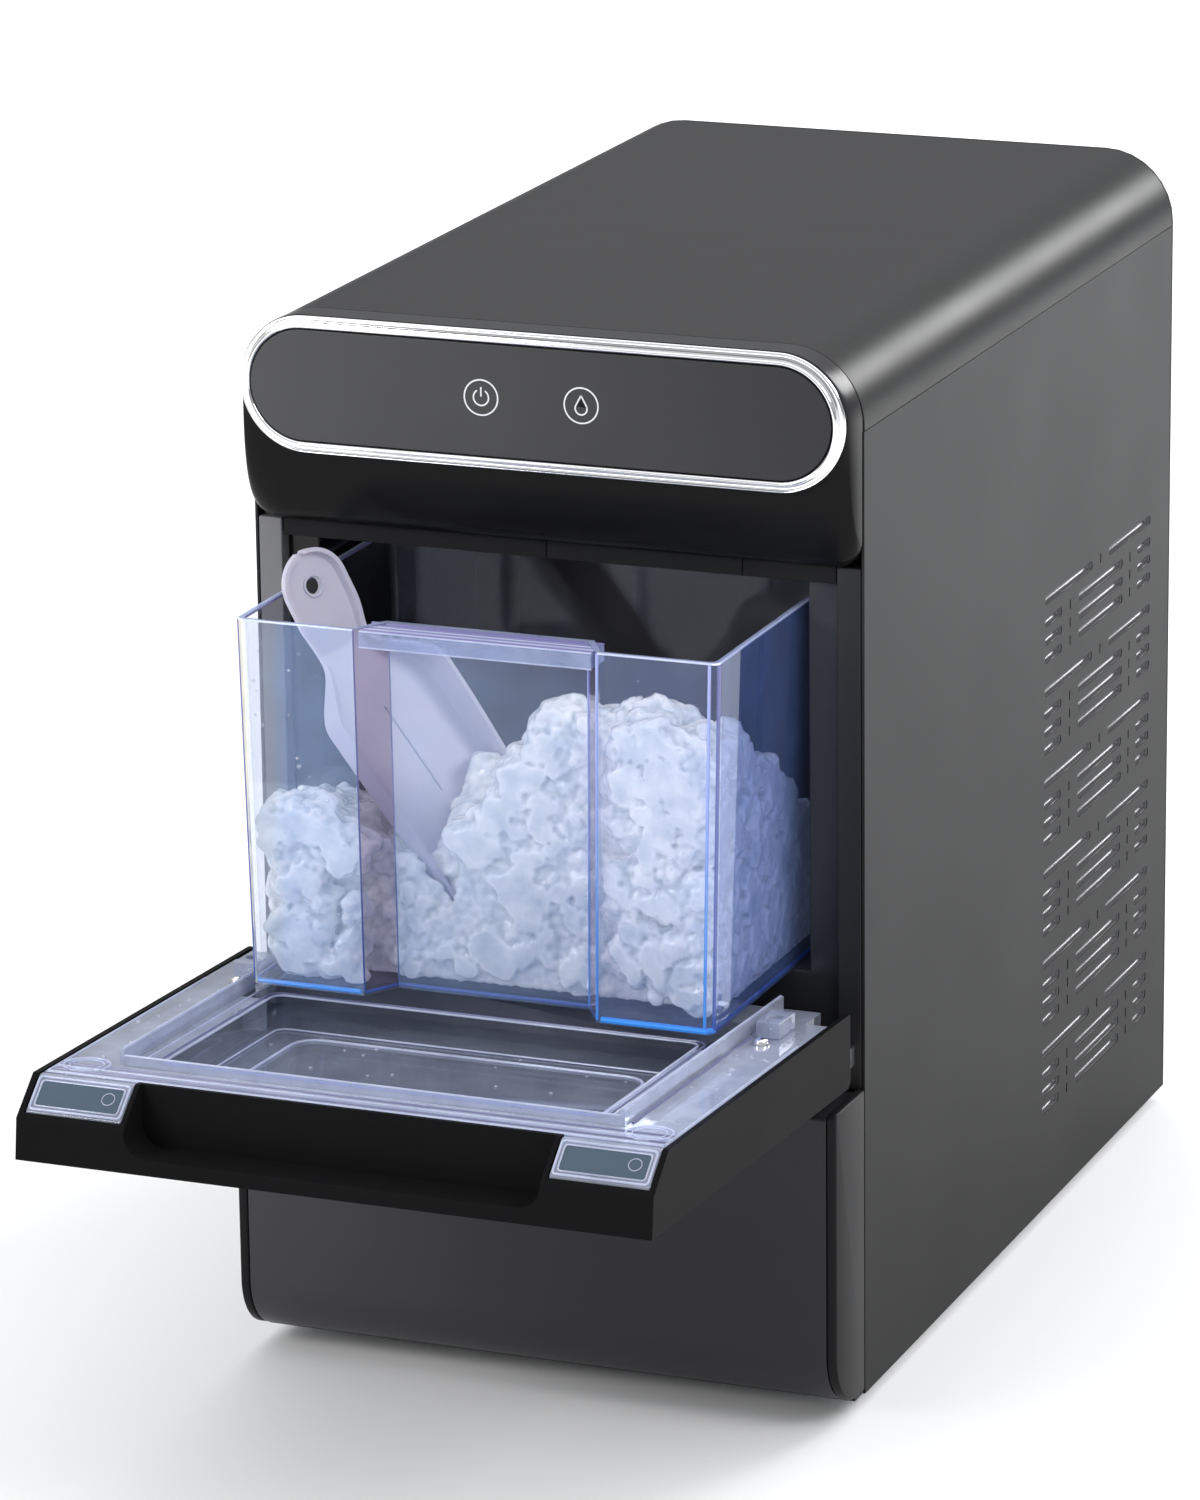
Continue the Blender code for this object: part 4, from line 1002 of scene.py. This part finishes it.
def tray_lines():
    """The light that gathers along the tray's ribs and folds."""
    def across(half, out, up, fine):
        return thread(on_door([(-half, out, up), (half, out, up)]), fine)

    def along(side, near, far, up, fine):
        return thread(on_door([(side, near, up), (side, far, up)]), fine)

    def round_pan(half, near, far, up, radius, fine):
        return thread(frame_line(half, near, far, up, radius), fine, True)

    white = [
        across(0.1260, 0.1828, TRAY_TOP, 0.0007),
        across(TRAY_EDGE, 0.1742, TRAY_TOP, 0.0004),
        across(UPSTAND, 0.1648, 0.0286, 0.0005),
        across(PAN_EDGE, 0.1600, TRAY_TOP, 0.0004),
        round_pan(0.0740, 0.062, 0.146, 0.0114, 0.010, 0.0006),
        round_pan(PAN_EDGE, 0.0505, 0.1568, TRAY_TOP, 0.005, 0.0005),
        round_pan(0.0880, 0.0530, 0.1545, 0.0116, 0.005, 0.0004),
    ]
    shade = [
        across(TRAY_EDGE, 0.1785, TRAY_TOP, 0.0005),
        across(TRAY_EDGE, 0.1702, TRAY_TOP, 0.0005),
        round_pan(0.0928, 0.0480, 0.1590, TRAY_TOP, 0.006, 0.0005),
    ]
    for sign in (-1, 1):
        white += [
            along(sign * UPSTAND, -0.004, 0.164, 0.0311, 0.0005),
            along(sign * TRAY_EDGE, 0.040, 0.182, TRAY_TOP, 0.0005),
            along(sign * 0.0985, 0.020, 0.160, TRAY_TOP, 0.0004),
        ]
        shade.append(along(sign * 0.1050, 0.036, 0.160, TRAY_TOP, 0.0006))
    glow = across(0.0890, 0.1572, TRAY_TOP + 0.0003, 0.0006)
    in_door("tray_rib_lights", joined(white), RIB_CLEAR)
    in_door("tray_rib_shades", joined(shade), TRAY_SHADE)
    in_door("tray_pan_glow", glow, TRAY_BLUE)


def tray_hardware():
    """Rings round the magnets and a screw on each stop."""
    rings = []
    for sign in (-1, 1):
        for radius, fine in ((0.0090, 0.0005), (0.0066, 0.0003)):
            circle = arc((sign * MAGNET[0], MAGNET[1]), radius, 0, 350, 35)
            rings.append(thread(on_door([(u, a, TRAY_TOP + 0.0002) for u, a in circle]), fine, True))

    def build(shape):
        for sign in (-1, 1):
            x, y = sign * STOP_SCREW[0], -STOP_SCREW[1]
            dome = Matrix.Translation((x, y, 0.0254)) @ Matrix.Diagonal((1, 1, 0.62, 1))
            bmesh.ops.create_uvsphere(shape, u_segments=24, v_segments=12, radius=0.0029, matrix=dome)
            rim = Matrix.Translation((x, y, 0.0250))
            bmesh.ops.create_cone(
                shape, cap_ends=True, segments=24, radius1=0.0036, radius2=0.0034, depth=0.0008, matrix=rim
            )

    # Painted highlights: the rings round the magnets are beads in the whitish highlight plastic.
    in_door("magnet_rings", joined(rings), RIB_CLEAR)
    piece("stop_screws", from_bmesh("heads", build), CHROME, "door", DOOR)


CORNER = (0.1073, -0.19355, 0.0189)  # the middle of the right corner block's slanted face
CORNER_SLOPE = math.radians(42.365)


def corner_frames():
    """Each corner block's slanted face: a dark sunk field, with lines round it and a small ring in the whitish
    highlight plastic, as painted highlights.
    """
    panels, lines = [], []
    for sign in (-1, 1):
        at = Matrix.Translation((sign * CORNER[0], CORNER[1], CORNER[2]))
        place = at @ Matrix.Rotation(CORNER_SLOPE, 4, "X")
        field = plate(rounded((-0.0172, -0.0055), (0.0172, 0.0055), 0.0012, 4), 0.0005, 0.0001)
        frames = [
            thread(
                [(x, y, 0.0003) for x, y in rounded((-half, -high), (half, high), 0.0014, 4)], fine, True
            )
            for half, high, fine in ((0.0190, 0.0073, 0.0005), (0.0174, 0.0057, 0.00035))
        ]
        circle = arc((0.0118, 0.0006), 0.0026, 0, 345, 23)
        frames.append(thread([(x, y, 0.0004) for x, y in circle], 0.0002, True))
        for mesh in (field, *frames):
            mesh.transform(place)
        panels.append(field)
        lines += frames
    in_door("corner_fields", joined(panels), FIELD)
    in_door("corner_lines", joined(lines), RIB_CLEAR)


# ---------------------------------------------------------------- bin


BAY_DEEP, BAY_OUT, BAY_IN = 0.014, 0.051, 0.042


def bin_outline(half, inset, steps=6):
    """The bin seen from above: two lobes in front, with a bay for the fingers between them."""
    slope = inset * math.tan(math.atan2(BAY_OUT - BAY_IN, BAY_DEEP) / 2)
    front = [
        (-BAY_OUT - slope, inset), (-BAY_IN - inset + slope, BAY_DEEP + inset),
        (BAY_IN + inset - slope, BAY_DEEP + inset), (BAY_OUT + slope, inset),
    ]
    r = 0.004 if inset == 0 else 0.0025
    x, deep = half - inset, BIN_DEEP - inset
    return (
        front
        + arc((x - r, inset + r), r, -90, 0, steps) + arc((x - r, deep - r), r, 0, 90, steps)
        + arc((-x + r, deep - r), r, 90, 180, steps) + arc((-x + r, inset + r), r, 180, 270, steps)
    )


BIN_HALF = BIN_HIGH.x
BIN_WALL = 0.0025
BIN_DRAFT = 0.0978 / 0.1012


def at_height(points, z):
    """A plan's points at a height, drawn in a little towards the foot."""
    share = BIN_DRAFT + (1 - BIN_DRAFT) * z / BIN_HEIGHT
    return [(x * share, y, z) for x, y in points]


def ice_bin():
    """The bin's walls: each side of it catches the light in its own way."""
    outer, inner = bin_outline(BIN_HALF, 0), bin_outline(BIN_HALF, BIN_WALL)
    levels = [i / 6 for i in range(7)]
    clear_back, front, bay, sides, rim = range(5)

    def finish(i, a, b):
        if i in (0, 2):
            return bay
        if max(a[1], b[1]) < 0.005 or max(abs(a[0]), abs(b[0])) < BAY_OUT:
            return front
        return sides if abs(a[0] - b[0]) < 0.001 and a[0] > 0 else clear_back

    def build(shape):
        deep = BIN_HEIGHT - BIN_WALL
        out = [[shape.verts.new(p) for p in at_height(outer, BIN_HEIGHT * s)] for s in levels]
        ins = [[shape.verts.new(p) for p in at_height(inner, BIN_WALL + deep * s)] for s in levels]
        bridged(shape, out, True)
        for number, face in enumerate(shape.faces):
            i = number % len(outer)
            face.material_index = finish(i, outer[i], outer[(i + 1) % len(outer)])
        bridged(shape, ins, True)
        walls = len(shape.faces)
        bridged(shape, [out[-1], ins[-1]], True)
        for number, face in enumerate(shape.faces):
            if number >= walls:
                face.material_index = rim
        shape.faces.new(out[0])
        shape.faces.new(ins[0])

    finishes = (BACK_CLEAR, FRONT_CLEAR, BAY_CLEAR, SIDE_CLEAR, RIDGE_CLEAR)
    piece("bin_shell", from_bmesh("bin", build), finishes, "bin", BIN, ("ice_bin",), 20)
    bin_edges(outer)
    bin_ledge()


def thread(points, radius, closed=False, sides=8):
    """A fine round bead through points, with its ends closed."""
    points = [Vector(p) for p in points]

    def section(i):
        if closed:
            ahead, behind = points[(i + 1) % len(points)], points[i - 1]
        else:
            ahead, behind = points[min(i + 1, len(points) - 1)], points[max(i - 1, 0)]
        along = (ahead - behind).normalized()
        guide = Vector((0, 0, 1)) if abs(along.z) < 0.9 else Vector((0, 1, 0))
        side = along.cross(guide).normalized()
        up = side.cross(along)
        turns = [2 * math.pi * k / sides for k in range(sides)]
        return [points[i] + side * radius * math.cos(a) + up * radius * math.sin(a) for a in turns]

    return swept(list(range(len(points))), section, closed)


def joined(meshes):
    """Several meshes as one."""
    shape = bmesh.new()
    for mesh in meshes:
        shape.from_mesh(mesh)
        bpy.data.meshes.remove(mesh)
    whole = bpy.data.meshes.new("joined")
    shape.to_mesh(whole)
    shape.free()
    return whole


def bin_edges(outer):
    """The bright lines that light makes along the bin's corners, its rim and its foot."""
    def upright(x, y, fine):
        return thread([at_height([(x, y)], z)[0] for z in (BIN_WALL * 0.5, BIN_HEIGHT - 0.0005)], fine)

    def round_rim(inset, down, fine):
        plan = bin_outline(BIN_HALF, inset)
        return thread(at_height(plan[3:] + plan[:1], BIN_HEIGHT - down), fine)

    skin = 0.0006
    lit = [
        upright(outer[3][0], skin, 0.0006),
        upright(outer[2][0], outer[2][1] + skin, 0.0006),
        upright(BIN_HALF - 0.0040, skin, 0.0007),
    ]
    dark = [
        upright(BIN_HALF - 0.0009, 0.0030, 0.0008),
        upright(-BIN_HALF + 0.0009, 0.0020, 0.0008),
        upright(BIN_HALF - 0.0012, BIN_DEEP - 0.003, 0.0008),
        upright(outer[0][0], skin, 0.0004),
        upright(outer[1][0], outer[1][1] + skin, 0.0003),
    ]
    in_bin("bin_uprights", joined(lit), UPRIGHT)
    in_bin("bin_corner_shades", joined(dark), VIOLET)
    in_bin("bin_rim_light", round_rim(skin, 0.0004, 0.00045), WHITE_EDGE)
    in_bin("bin_rim_shade", round_rim(BIN_WALL - 0.0003, 0.0006, 0.0005), VIOLET)
    reach, near, z = BIN_HALF * BIN_DRAFT, 0.0009, 0.0013
    azure = [
        thread(
            [(x, near, z), (side * (reach - 0.003), near, z), (side * (reach - 0.0010), 0.0035, z)], fine
        )
        for side, x, fine in ((1, outer[3][0], 0.0013), (-1, outer[0][0], 0.0010))
    ]
    flank = [
        thread([(side * (reach - 0.0010), y, z) for y in (0.005, BIN_DEEP - 0.004)], 0.0008)
        for side in (-1, 1)
    ]
    bay = thread([(x * BIN_DRAFT, y + near, z) for x, y in outer[:4]], 0.0008)
    in_bin("bin_foot_light", joined(azure), AZURE)
    in_bin("bin_foot_shade", joined([*flank, bay]), VIOLET)


def bin_ledge():
    """The grip across the top of the bay, with fine ridges along it."""
    half = 0.0488

    def line(y, down, fine):
        return thread([(side * (half - 0.0002), y, BIN_HEIGHT - down) for side in (-1, 1)], fine)

    bar = boxes([((-half, 0.0003, BIN_HEIGHT - 0.0072), (half, 0.0145, BIN_HEIGHT - 0.0010))])
    bevelled(in_bin("bin_ledge", bar, RIDGE_CLEAR), 0.0008)
    dark = [line(y, 0.0008, 0.0006) for y in (0.0030, 0.0068, 0.0104)]
    light = [line(y, 0.0007, 0.0004) for y in (0.0008, 0.0050, 0.0086)]
    in_bin("bin_ledge_shades", joined([*dark, line(0.0140, 0.0008, 0.0008)]), VIOLET)
    in_bin("bin_ledge_lights", joined([*light, line(0.0006, 0.0070, 0.0004)]), RIB_CLEAR)


def drops(count, place, out, luck, small, large):
    """Water drops: flattened domes at the places that place() gives, on a face turned out that way."""
    turn = Vector(out).to_track_quat("Z", "Y").to_matrix().to_4x4()

    def build(shape):
        for _ in range(count):
            at = Matrix.Translation(place())
            size = luck.uniform(small, large)
            flat = Matrix.Diagonal((1, luck.uniform(0.8, 1.25), 0.55, 1))
            bmesh.ops.create_icosphere(shape, subdivisions=2, radius=size, matrix=at @ turn @ flat)

    return from_bmesh("drops", build)


def droplets():
    """Water drops on the bin's front walls, along the tray's channels and on its pan."""
    luck = random.Random(11)
    front, up = (0, -1, 0), (0, 0, 1)

    def on_bin():
        side = luck.choice((-1, 1))
        return side * luck.uniform(0.056, 0.094), -0.0001, luck.uniform(0.015, 0.140)

    def on_tray():
        side = luck.choice((-1, 1, 1))
        return side * luck.uniform(0.1065, 0.1240), -luck.uniform(0.050, 0.158), TRAY_TOP

    def on_pan():
        return luck.uniform(-0.085, 0.085), -luck.uniform(0.055, 0.150), 0.0112

    in_bin("bin_drops", drops(46, on_bin, front, luck, 0.0004, 0.0010), WATER)
    in_door("tray_drops", drops(34, on_tray, up, luck, 0.0005, 0.0013), WATER)
    in_door("pan_drops", drops(26, on_pan, up, luck, 0.0004, 0.0010), WATER)


# ---------------------------------------------------------------- ice


def heap_height(x, y):
    """Top of the ice above the bin's foot: a low mound on the left and a high, broad one on the right."""
    left = 0.028 * math.exp(-((x + 0.078) / 0.026) ** 2 - ((y - 0.020) / 0.07) ** 2)
    rise = 1 / (1 + math.exp(-(x - 0.000) / 0.0135))
    over, behind = max(0.0, x - 0.062), max(0.0, y - 0.028)
    right = 0.080 * rise * math.exp(-(over / 0.060) ** 2 - (behind / 0.072) ** 2)
    return 0.042 + left + right + 0.005 * noise.noise(Vector((x, y, 0.3)) * 42)


def inside_bin(x, y, z, spare):
    """True where a lump of that radius fits inside the bin's walls."""
    half = BIN_HALF * (BIN_DRAFT + (1 - BIN_DRAFT) * z / BIN_HEIGHT) - BIN_WALL - spare
    near = BIN_WALL + spare
    if abs(x) < BAY_OUT - 0.002 + spare:
        near += BAY_DEEP
    return abs(x) < half and near < y < BIN_DEEP - BIN_WALL - spare and z > BIN_WALL + spare * 0.8


INTO_SCOOP = SCOOP.inverted() @ BIN


def near_scoop(x, y, z, spare):
    local = INTO_SCOOP @ Vector((x, y, z))
    low, high = -0.0165 - spare, 0.003 + spare
    wide = 0.0275 if local.z < 0.104 else 0.0135
    return abs(local.x) < wide + spare and low < local.y < high and local.z > -0.002 - spare


def hides_edge(local, spare):
    """Whether ice here would lie over the scoop's near side, which stands clear against the front wall."""
    if local.y > -0.008:
        return False
    beside = local.x + 0.598 * (-0.008 - local.y)
    return -0.033 - spare < beside < -0.021 + spare and -0.002 - spare < local.z < 0.11


def pebble():
    """The points and faces of a ball of radius 1."""
    shape = bmesh.new()
    bmesh.ops.create_icosphere(shape, subdivisions=3, radius=1.0)
    points = [vertex.co.copy() for vertex in shape.verts]
    faces = [[vertex.index for vertex in face.verts] for face in shape.faces]
    shape.free()
    return points, faces


def lump(ball, middle, radius, luck):
    """The points of one nugget: a pressed, uneven lump."""
    stretch = Matrix.Diagonal((luck.uniform(0.75, 1.3), luck.uniform(0.75, 1.3), luck.uniform(0.65, 1.0)))
    angle = luck.uniform(0, 6.28)
    axis = Vector((luck.uniform(-1, 1), luck.uniform(-1, 1), 1)).normalized()
    spin = Matrix.Rotation(angle, 3, axis)
    turn = spin @ stretch * radius
    offset = Vector((luck.uniform(0, 50), luck.uniform(0, 50), luck.uniform(0, 50)))
    wide, fine = 150 * radius, 420 * radius
    points = []
    for point in ball:
        swell = 1 + 0.46 * noise.noise(point * wide + offset) + 0.12 * noise.noise(point * fine + offset)
        points.append(middle + turn @ (point * swell))
    return points


def wall_half(z):
    return BIN_HALF * (BIN_DRAFT + (1 - BIN_DRAFT) * z / BIN_HEIGHT) - BIN_WALL


def nuggets(luck):
    """Places and radii: three layers under the heap's top, and one behind each wall that shows."""
    found = []
    step = 0.0108
    for layer in range(3):
        for i in range(int(0.196 / step)):
            for j in range(int(0.146 / step)):
                x = -0.097 + (i + 0.5 + luck.uniform(-0.45, 0.45)) * step
                y = 0.002 + (j + 0.5 + luck.uniform(-0.45, 0.45)) * step
                radius = luck.choice((0.0052, 0.0066, 0.0086, 0.0110))
                z = heap_height(x, y) - 0.006 - layer * 0.010 + luck.uniform(-0.004, 0.004)
                found.append((x, y, z, radius))
    for _ in range(420):
        radius = luck.choice((0.0050, 0.0064, 0.0080, 0.0100))
        x, z = luck.uniform(-0.097, 0.097), luck.uniform(0.006, 0.122)
        y = BIN_WALL + radius * 1.0 + (BAY_DEEP if abs(x) < BAY_OUT + radius * 0.5 else 0)
        found.append((x, y, z, radius))
    for _ in range(300):
        radius = luck.choice((0.0050, 0.0064, 0.0080, 0.0100))
        y, z = luck.uniform(0.006, 0.144), luck.uniform(0.006, 0.122)
        found.append((wall_half(z) - radius * 1.0, y, z, radius))
        z = luck.uniform(0.006, 0.07)
        found.append((-wall_half(z) + radius * 1.0, y, z, radius))
    kept = []
    for x, y, z, radius in found:
        if z + radius * 0.5 > heap_height(x, y):
            z = heap_height(x, y) - radius * luck.uniform(0.3, 0.9)
        hiding = hides_edge(INTO_SCOOP @ Vector((x, y, z)), radius * 0.9)
        if inside_bin(x, y, z, radius * 0.85) and not near_scoop(x, y, z, radius * 0.8) and not hiding:
            kept.append((x, y, z, radius))
    return kept


def core(shape):
    """The packed ice under the nuggets, lower where the scoop stands."""
    nx, ny = 60, 44
    low, high = Vector((-0.093, 0.019)), Vector((0.093, 0.144))
    made = bmesh.ops.create_grid(shape, x_segments=nx, y_segments=ny, size=0.5)["verts"]
    for vertex in made:
        x = low.x + (vertex.co.x + 0.5) * (high.x - low.x)
        y = low.y + (vertex.co.y + 0.5) * (high.y - low.y)
        z = heap_height(x, y) - 0.008 + noise.noise(Vector((x, y, 0)) * 110) * 0.004
        while near_scoop(x, y, z, 0.002) and z > 0.008:
            z -= 0.002
        vertex.co = (x, y, z)
    rim = [e for e in shape.edges if e.is_boundary]
    skirt = bmesh.ops.extrude_edge_only(shape, edges=rim)["geom"]
    for vertex in [v for v in skirt if isinstance(v, bmesh.types.BMVert)]:
        vertex.co.z = 0.004
    bmesh.ops.contextual_create(shape, geom=[e for e in shape.edges if e.is_boundary])


def lumps(places, luck):
    """All the nuggets at the places, as one mesh of separate lumps."""
    ball, ball_faces = pebble()
    points, faces = [], []
    for x, y, z, radius in places:
        first = len(points)
        points += lump(ball, Vector((x, y, z)), radius, luck)
        faces += [[first + i for i in face] for face in ball_faces]
    loose = bpy.data.meshes.new("nuggets")
    loose.from_pydata(points, [], faces)
    return loose


def fused(made):
    """Melts the lumps together where they touch."""
    fuse = made.modifiers.new("fuse", "REMESH")
    fuse.mode = "VOXEL"
    fuse.voxel_size = 0.0010
    apply_modifiers(made, 80)
    return made


def scoop_load():
    """Ice lying in the scoop, which moves with it."""
    luck = random.Random(5)
    places = []
    for _ in range(150):
        radius = luck.choice((0.0040, 0.0050, 0.0062, 0.0074))
        x = luck.uniform(-0.0255, 0.0255) * (1 - radius / 0.0272)
        z = luck.uniform(radius, 0.040 + 0.6 * x)
        y = -radius * 0.8 - luck.uniform(0, 0.007) * (1 - z / 0.10)
        if not hides_edge(Vector((x, y, z)), radius * 0.9):
            places.append((x, y, z, radius))
    fused(piece("ice_in_scoop", lumps(places, luck), ICE, "scoop", SCOOP, (), 80))


def ice():
    """Nuggets and packed ice fused into one crusty mass, kept inside the bin."""
    luck = random.Random(11)
    kept = nuggets(luck)

    heap = joined([from_bmesh("core", core), lumps(kept, luck)])
    made = fused(piece("ice_nuggets", heap, ICE, "bin", BIN, ("ice_heap",), 80))
    into_bin = BIN.inverted()
    margin = 0.0006
    moved = []
    for vertex, normal in zip(made.data.vertices, [Vector(one.vector) for one in made.data.vertex_normals]):
        rough = noise.noise(vertex.co * 330) * 0.0006 + noise.noise(vertex.co * 900) * 0.00028
        p = into_bin @ (vertex.co + normal * rough)
        half = wall_half(p.z) - margin
        near = BIN_WALL + margin + (BAY_DEEP if abs(p.x) < BAY_IN - BIN_WALL else 0)
        p.x = min(max(p.x, -half), half)
        p.y = min(max(p.y, near), BIN_DEEP - BIN_WALL - margin)
        p.z = max(p.z, BIN_WALL + margin)
        moved.extend(BIN @ p)
    made.data.vertices.foreach_set("co", moved)
    made.data.update()


# ---------------------------------------------------------------- scoop


SCOOP_LONG, BLADE_HALF, BLADE_LONG = 0.163, 0.0272, 0.120
HANDLE_HALF, NECK_HALF = 0.0142, 0.0118
HANDLE_BEND = math.radians(17)


def smoothstep(low, high, value):
    t = min(1.0, max(0.0, (value - low) / (high - low)))
    return t * t * (3 - 2 * t)


def scoop_width(z):
    nose = 0.016
    if z < nose:
        share = 1 - (1 - z / nose) ** 2.6
        return BLADE_HALF * (0.32 + 0.68 * max(0.0, share) ** 0.7)
    width = BLADE_HALF + 0.0008 * smoothstep(nose, 0.09, z)
    width += (NECK_HALF - BLADE_HALF - 0.0008) * smoothstep(0.094, 0.121, z)
    width += (HANDLE_HALF - NECK_HALF) * smoothstep(0.121, 0.138, z)
    cap = SCOOP_LONG - HANDLE_HALF
    if z > cap:
        width = math.sqrt(max(1e-8, HANDLE_HALF ** 2 - (z - cap) ** 2))
    return width


def scoop_depth(z):
    """How far the sides stand up from the floor of the scoop."""
    blade = 0.0085 + 0.0075 * smoothstep(-0.01, 0.096, z)
    return blade + (0.0036 - blade) * smoothstep(0.098, 0.122, z)


def scoop_point(x, y, z):
    """A point of the straight scoop, with the handle bent up about the neck."""
    turn = HANDLE_BEND * smoothstep(0.108, 0.132, z)
    over = max(0.0, z - BLADE_LONG)
    base = min(z, BLADE_LONG)
    back = y * math.cos(turn) - over * math.sin(turn)
    return (x, back, base + over * math.cos(turn) + y * math.sin(turn))


def scoop_section(v, width, deep):
    """Half a section of the dish from middle (0) to lip (1): flat floor, tight corner, upright side."""
    corner = min(0.0030, deep * 0.5, width * 0.5)
    if v < 0.6:
        return (width - corner) * v / 0.6, 0.0
    if v < 0.82:
        turn = (v - 0.6) / 0.22 * math.pi / 2
        return width - corner * (1 - math.sin(turn)), -corner * (1 - math.cos(turn))
    return width, -corner - (deep - corner) * (v - 0.82) / 0.18


def scoop():
    across, along = 48, 120

    def build(shape):
        rows = []
        for j in range(along + 1):
            z = SCOOP_LONG * (0.5 - 0.5 * math.cos(math.pi * j / along)) * 0.9988 + 0.0001
            width, deep = scoop_width(z), scoop_depth(z)
            row = []
            for i in range(across + 1):
                v = -1 + 2 * i / across
                x, y = scoop_section(abs(v), width, deep)
                row.append(shape.verts.new(scoop_point(math.copysign(x, v), y, z)))
            rows.append(row)
        for near, far in zip(rows, rows[1:]):
            for i in range(across):
                shape.faces.new((near[i], near[i + 1], far[i + 1], far[i]))

    made = piece("scoop_dish", from_bmesh("scoop", build), SCOOP_FINISH, "scoop", SCOOP,
                 ("ice_scoop",), 60)
    solid = made.modifiers.new("wall", "SOLIDIFY")
    solid.thickness = 0.0017
    solid.offset = 0
    centre = SCOOP_LONG - HANDLE_HALF
    hole = rod(scoop_point(0, -0.02, centre), scoop_point(0, 0.02, centre), 0.0034, 32)
    hole.transform(SCOOP)
    tool = bpy.data.objects.new("scoop_hole", hole)
    bpy.context.scene.collection.objects.link(tool)
    drill = made.modifiers.new("hole", "BOOLEAN")
    drill.operation = "DIFFERENCE"
    drill.object = tool
    apply_modifiers(made, 50)
    bpy.data.objects.remove(tool)
    bevelled(made, 0.0005, 2, 50)
    eye = [scoop_point(0.0042 * math.cos(a), -0.0010, centre + 0.0042 * math.sin(a))
           for a in [2 * math.pi * k / 32 for k in range(32)]]
    ridge = [scoop_point(0.0004, -0.0009, z) for z in (0.052, 0.060, 0.072, 0.084, 0.092)]
    marks = joined([thread(eye, 0.0006, True), thread(ridge, 0.00045)])
    piece("scoop_marks", marks, SCOOP_FINISH, "scoop", SCOOP)


def apply_modifiers(made, sharp):
    bpy.context.view_layer.update()
    mesh = bpy.data.meshes.new_from_object(made.evaluated_get(bpy.context.evaluated_depsgraph_get()))
    made.modifiers.clear()
    old = made.data
    made.data = mesh
    bpy.data.meshes.remove(old)
    mesh.shade_smooth()
    mesh.set_sharp_from_angle(angle=math.radians(sharp))


# ---------------------------------------------------------------- inside


def machinery():
    finishes = {
        "ice_chute": SATIN, "control_board": BOARD, "power_board": BOARD, "compressor": ENAMEL,
        "compressor_bracket": STEEL, "condenser": ALUMINIUM, "fan_shroud": SATIN, "fan_motor": STEEL,
        "condenser_fan": SATIN, "freezing_barrel": ALUMINIUM, "auger": STEEL, "gear_motor": SATIN,
        "water_tank": TANK, "water_pump": SATIN, "water_hose": TANK,
        "drain_spout": SATIN, "drain_cap": RUBBER,
        "discharge_pipe": COPPER, "suction_pipe": COPPER, "filter_drier": COPPER, "power_inlet": SATIN,
    }
    for name, finish in finishes.items():
        refined(name, finish, 0.0004 if "pipe" not in name and "hose" not in name else 0)


def build_all():
    studio()
    camera()
    side_panels()
    top_cover()
    head()
    trim_ring()
    control_panel()
    front_frame()
    lower_front()
    back_and_base()
    door()
    tray()
    ice_bin()
    ice()
    scoop_load()
    droplets()
    scoop()
    machinery()


build_all()
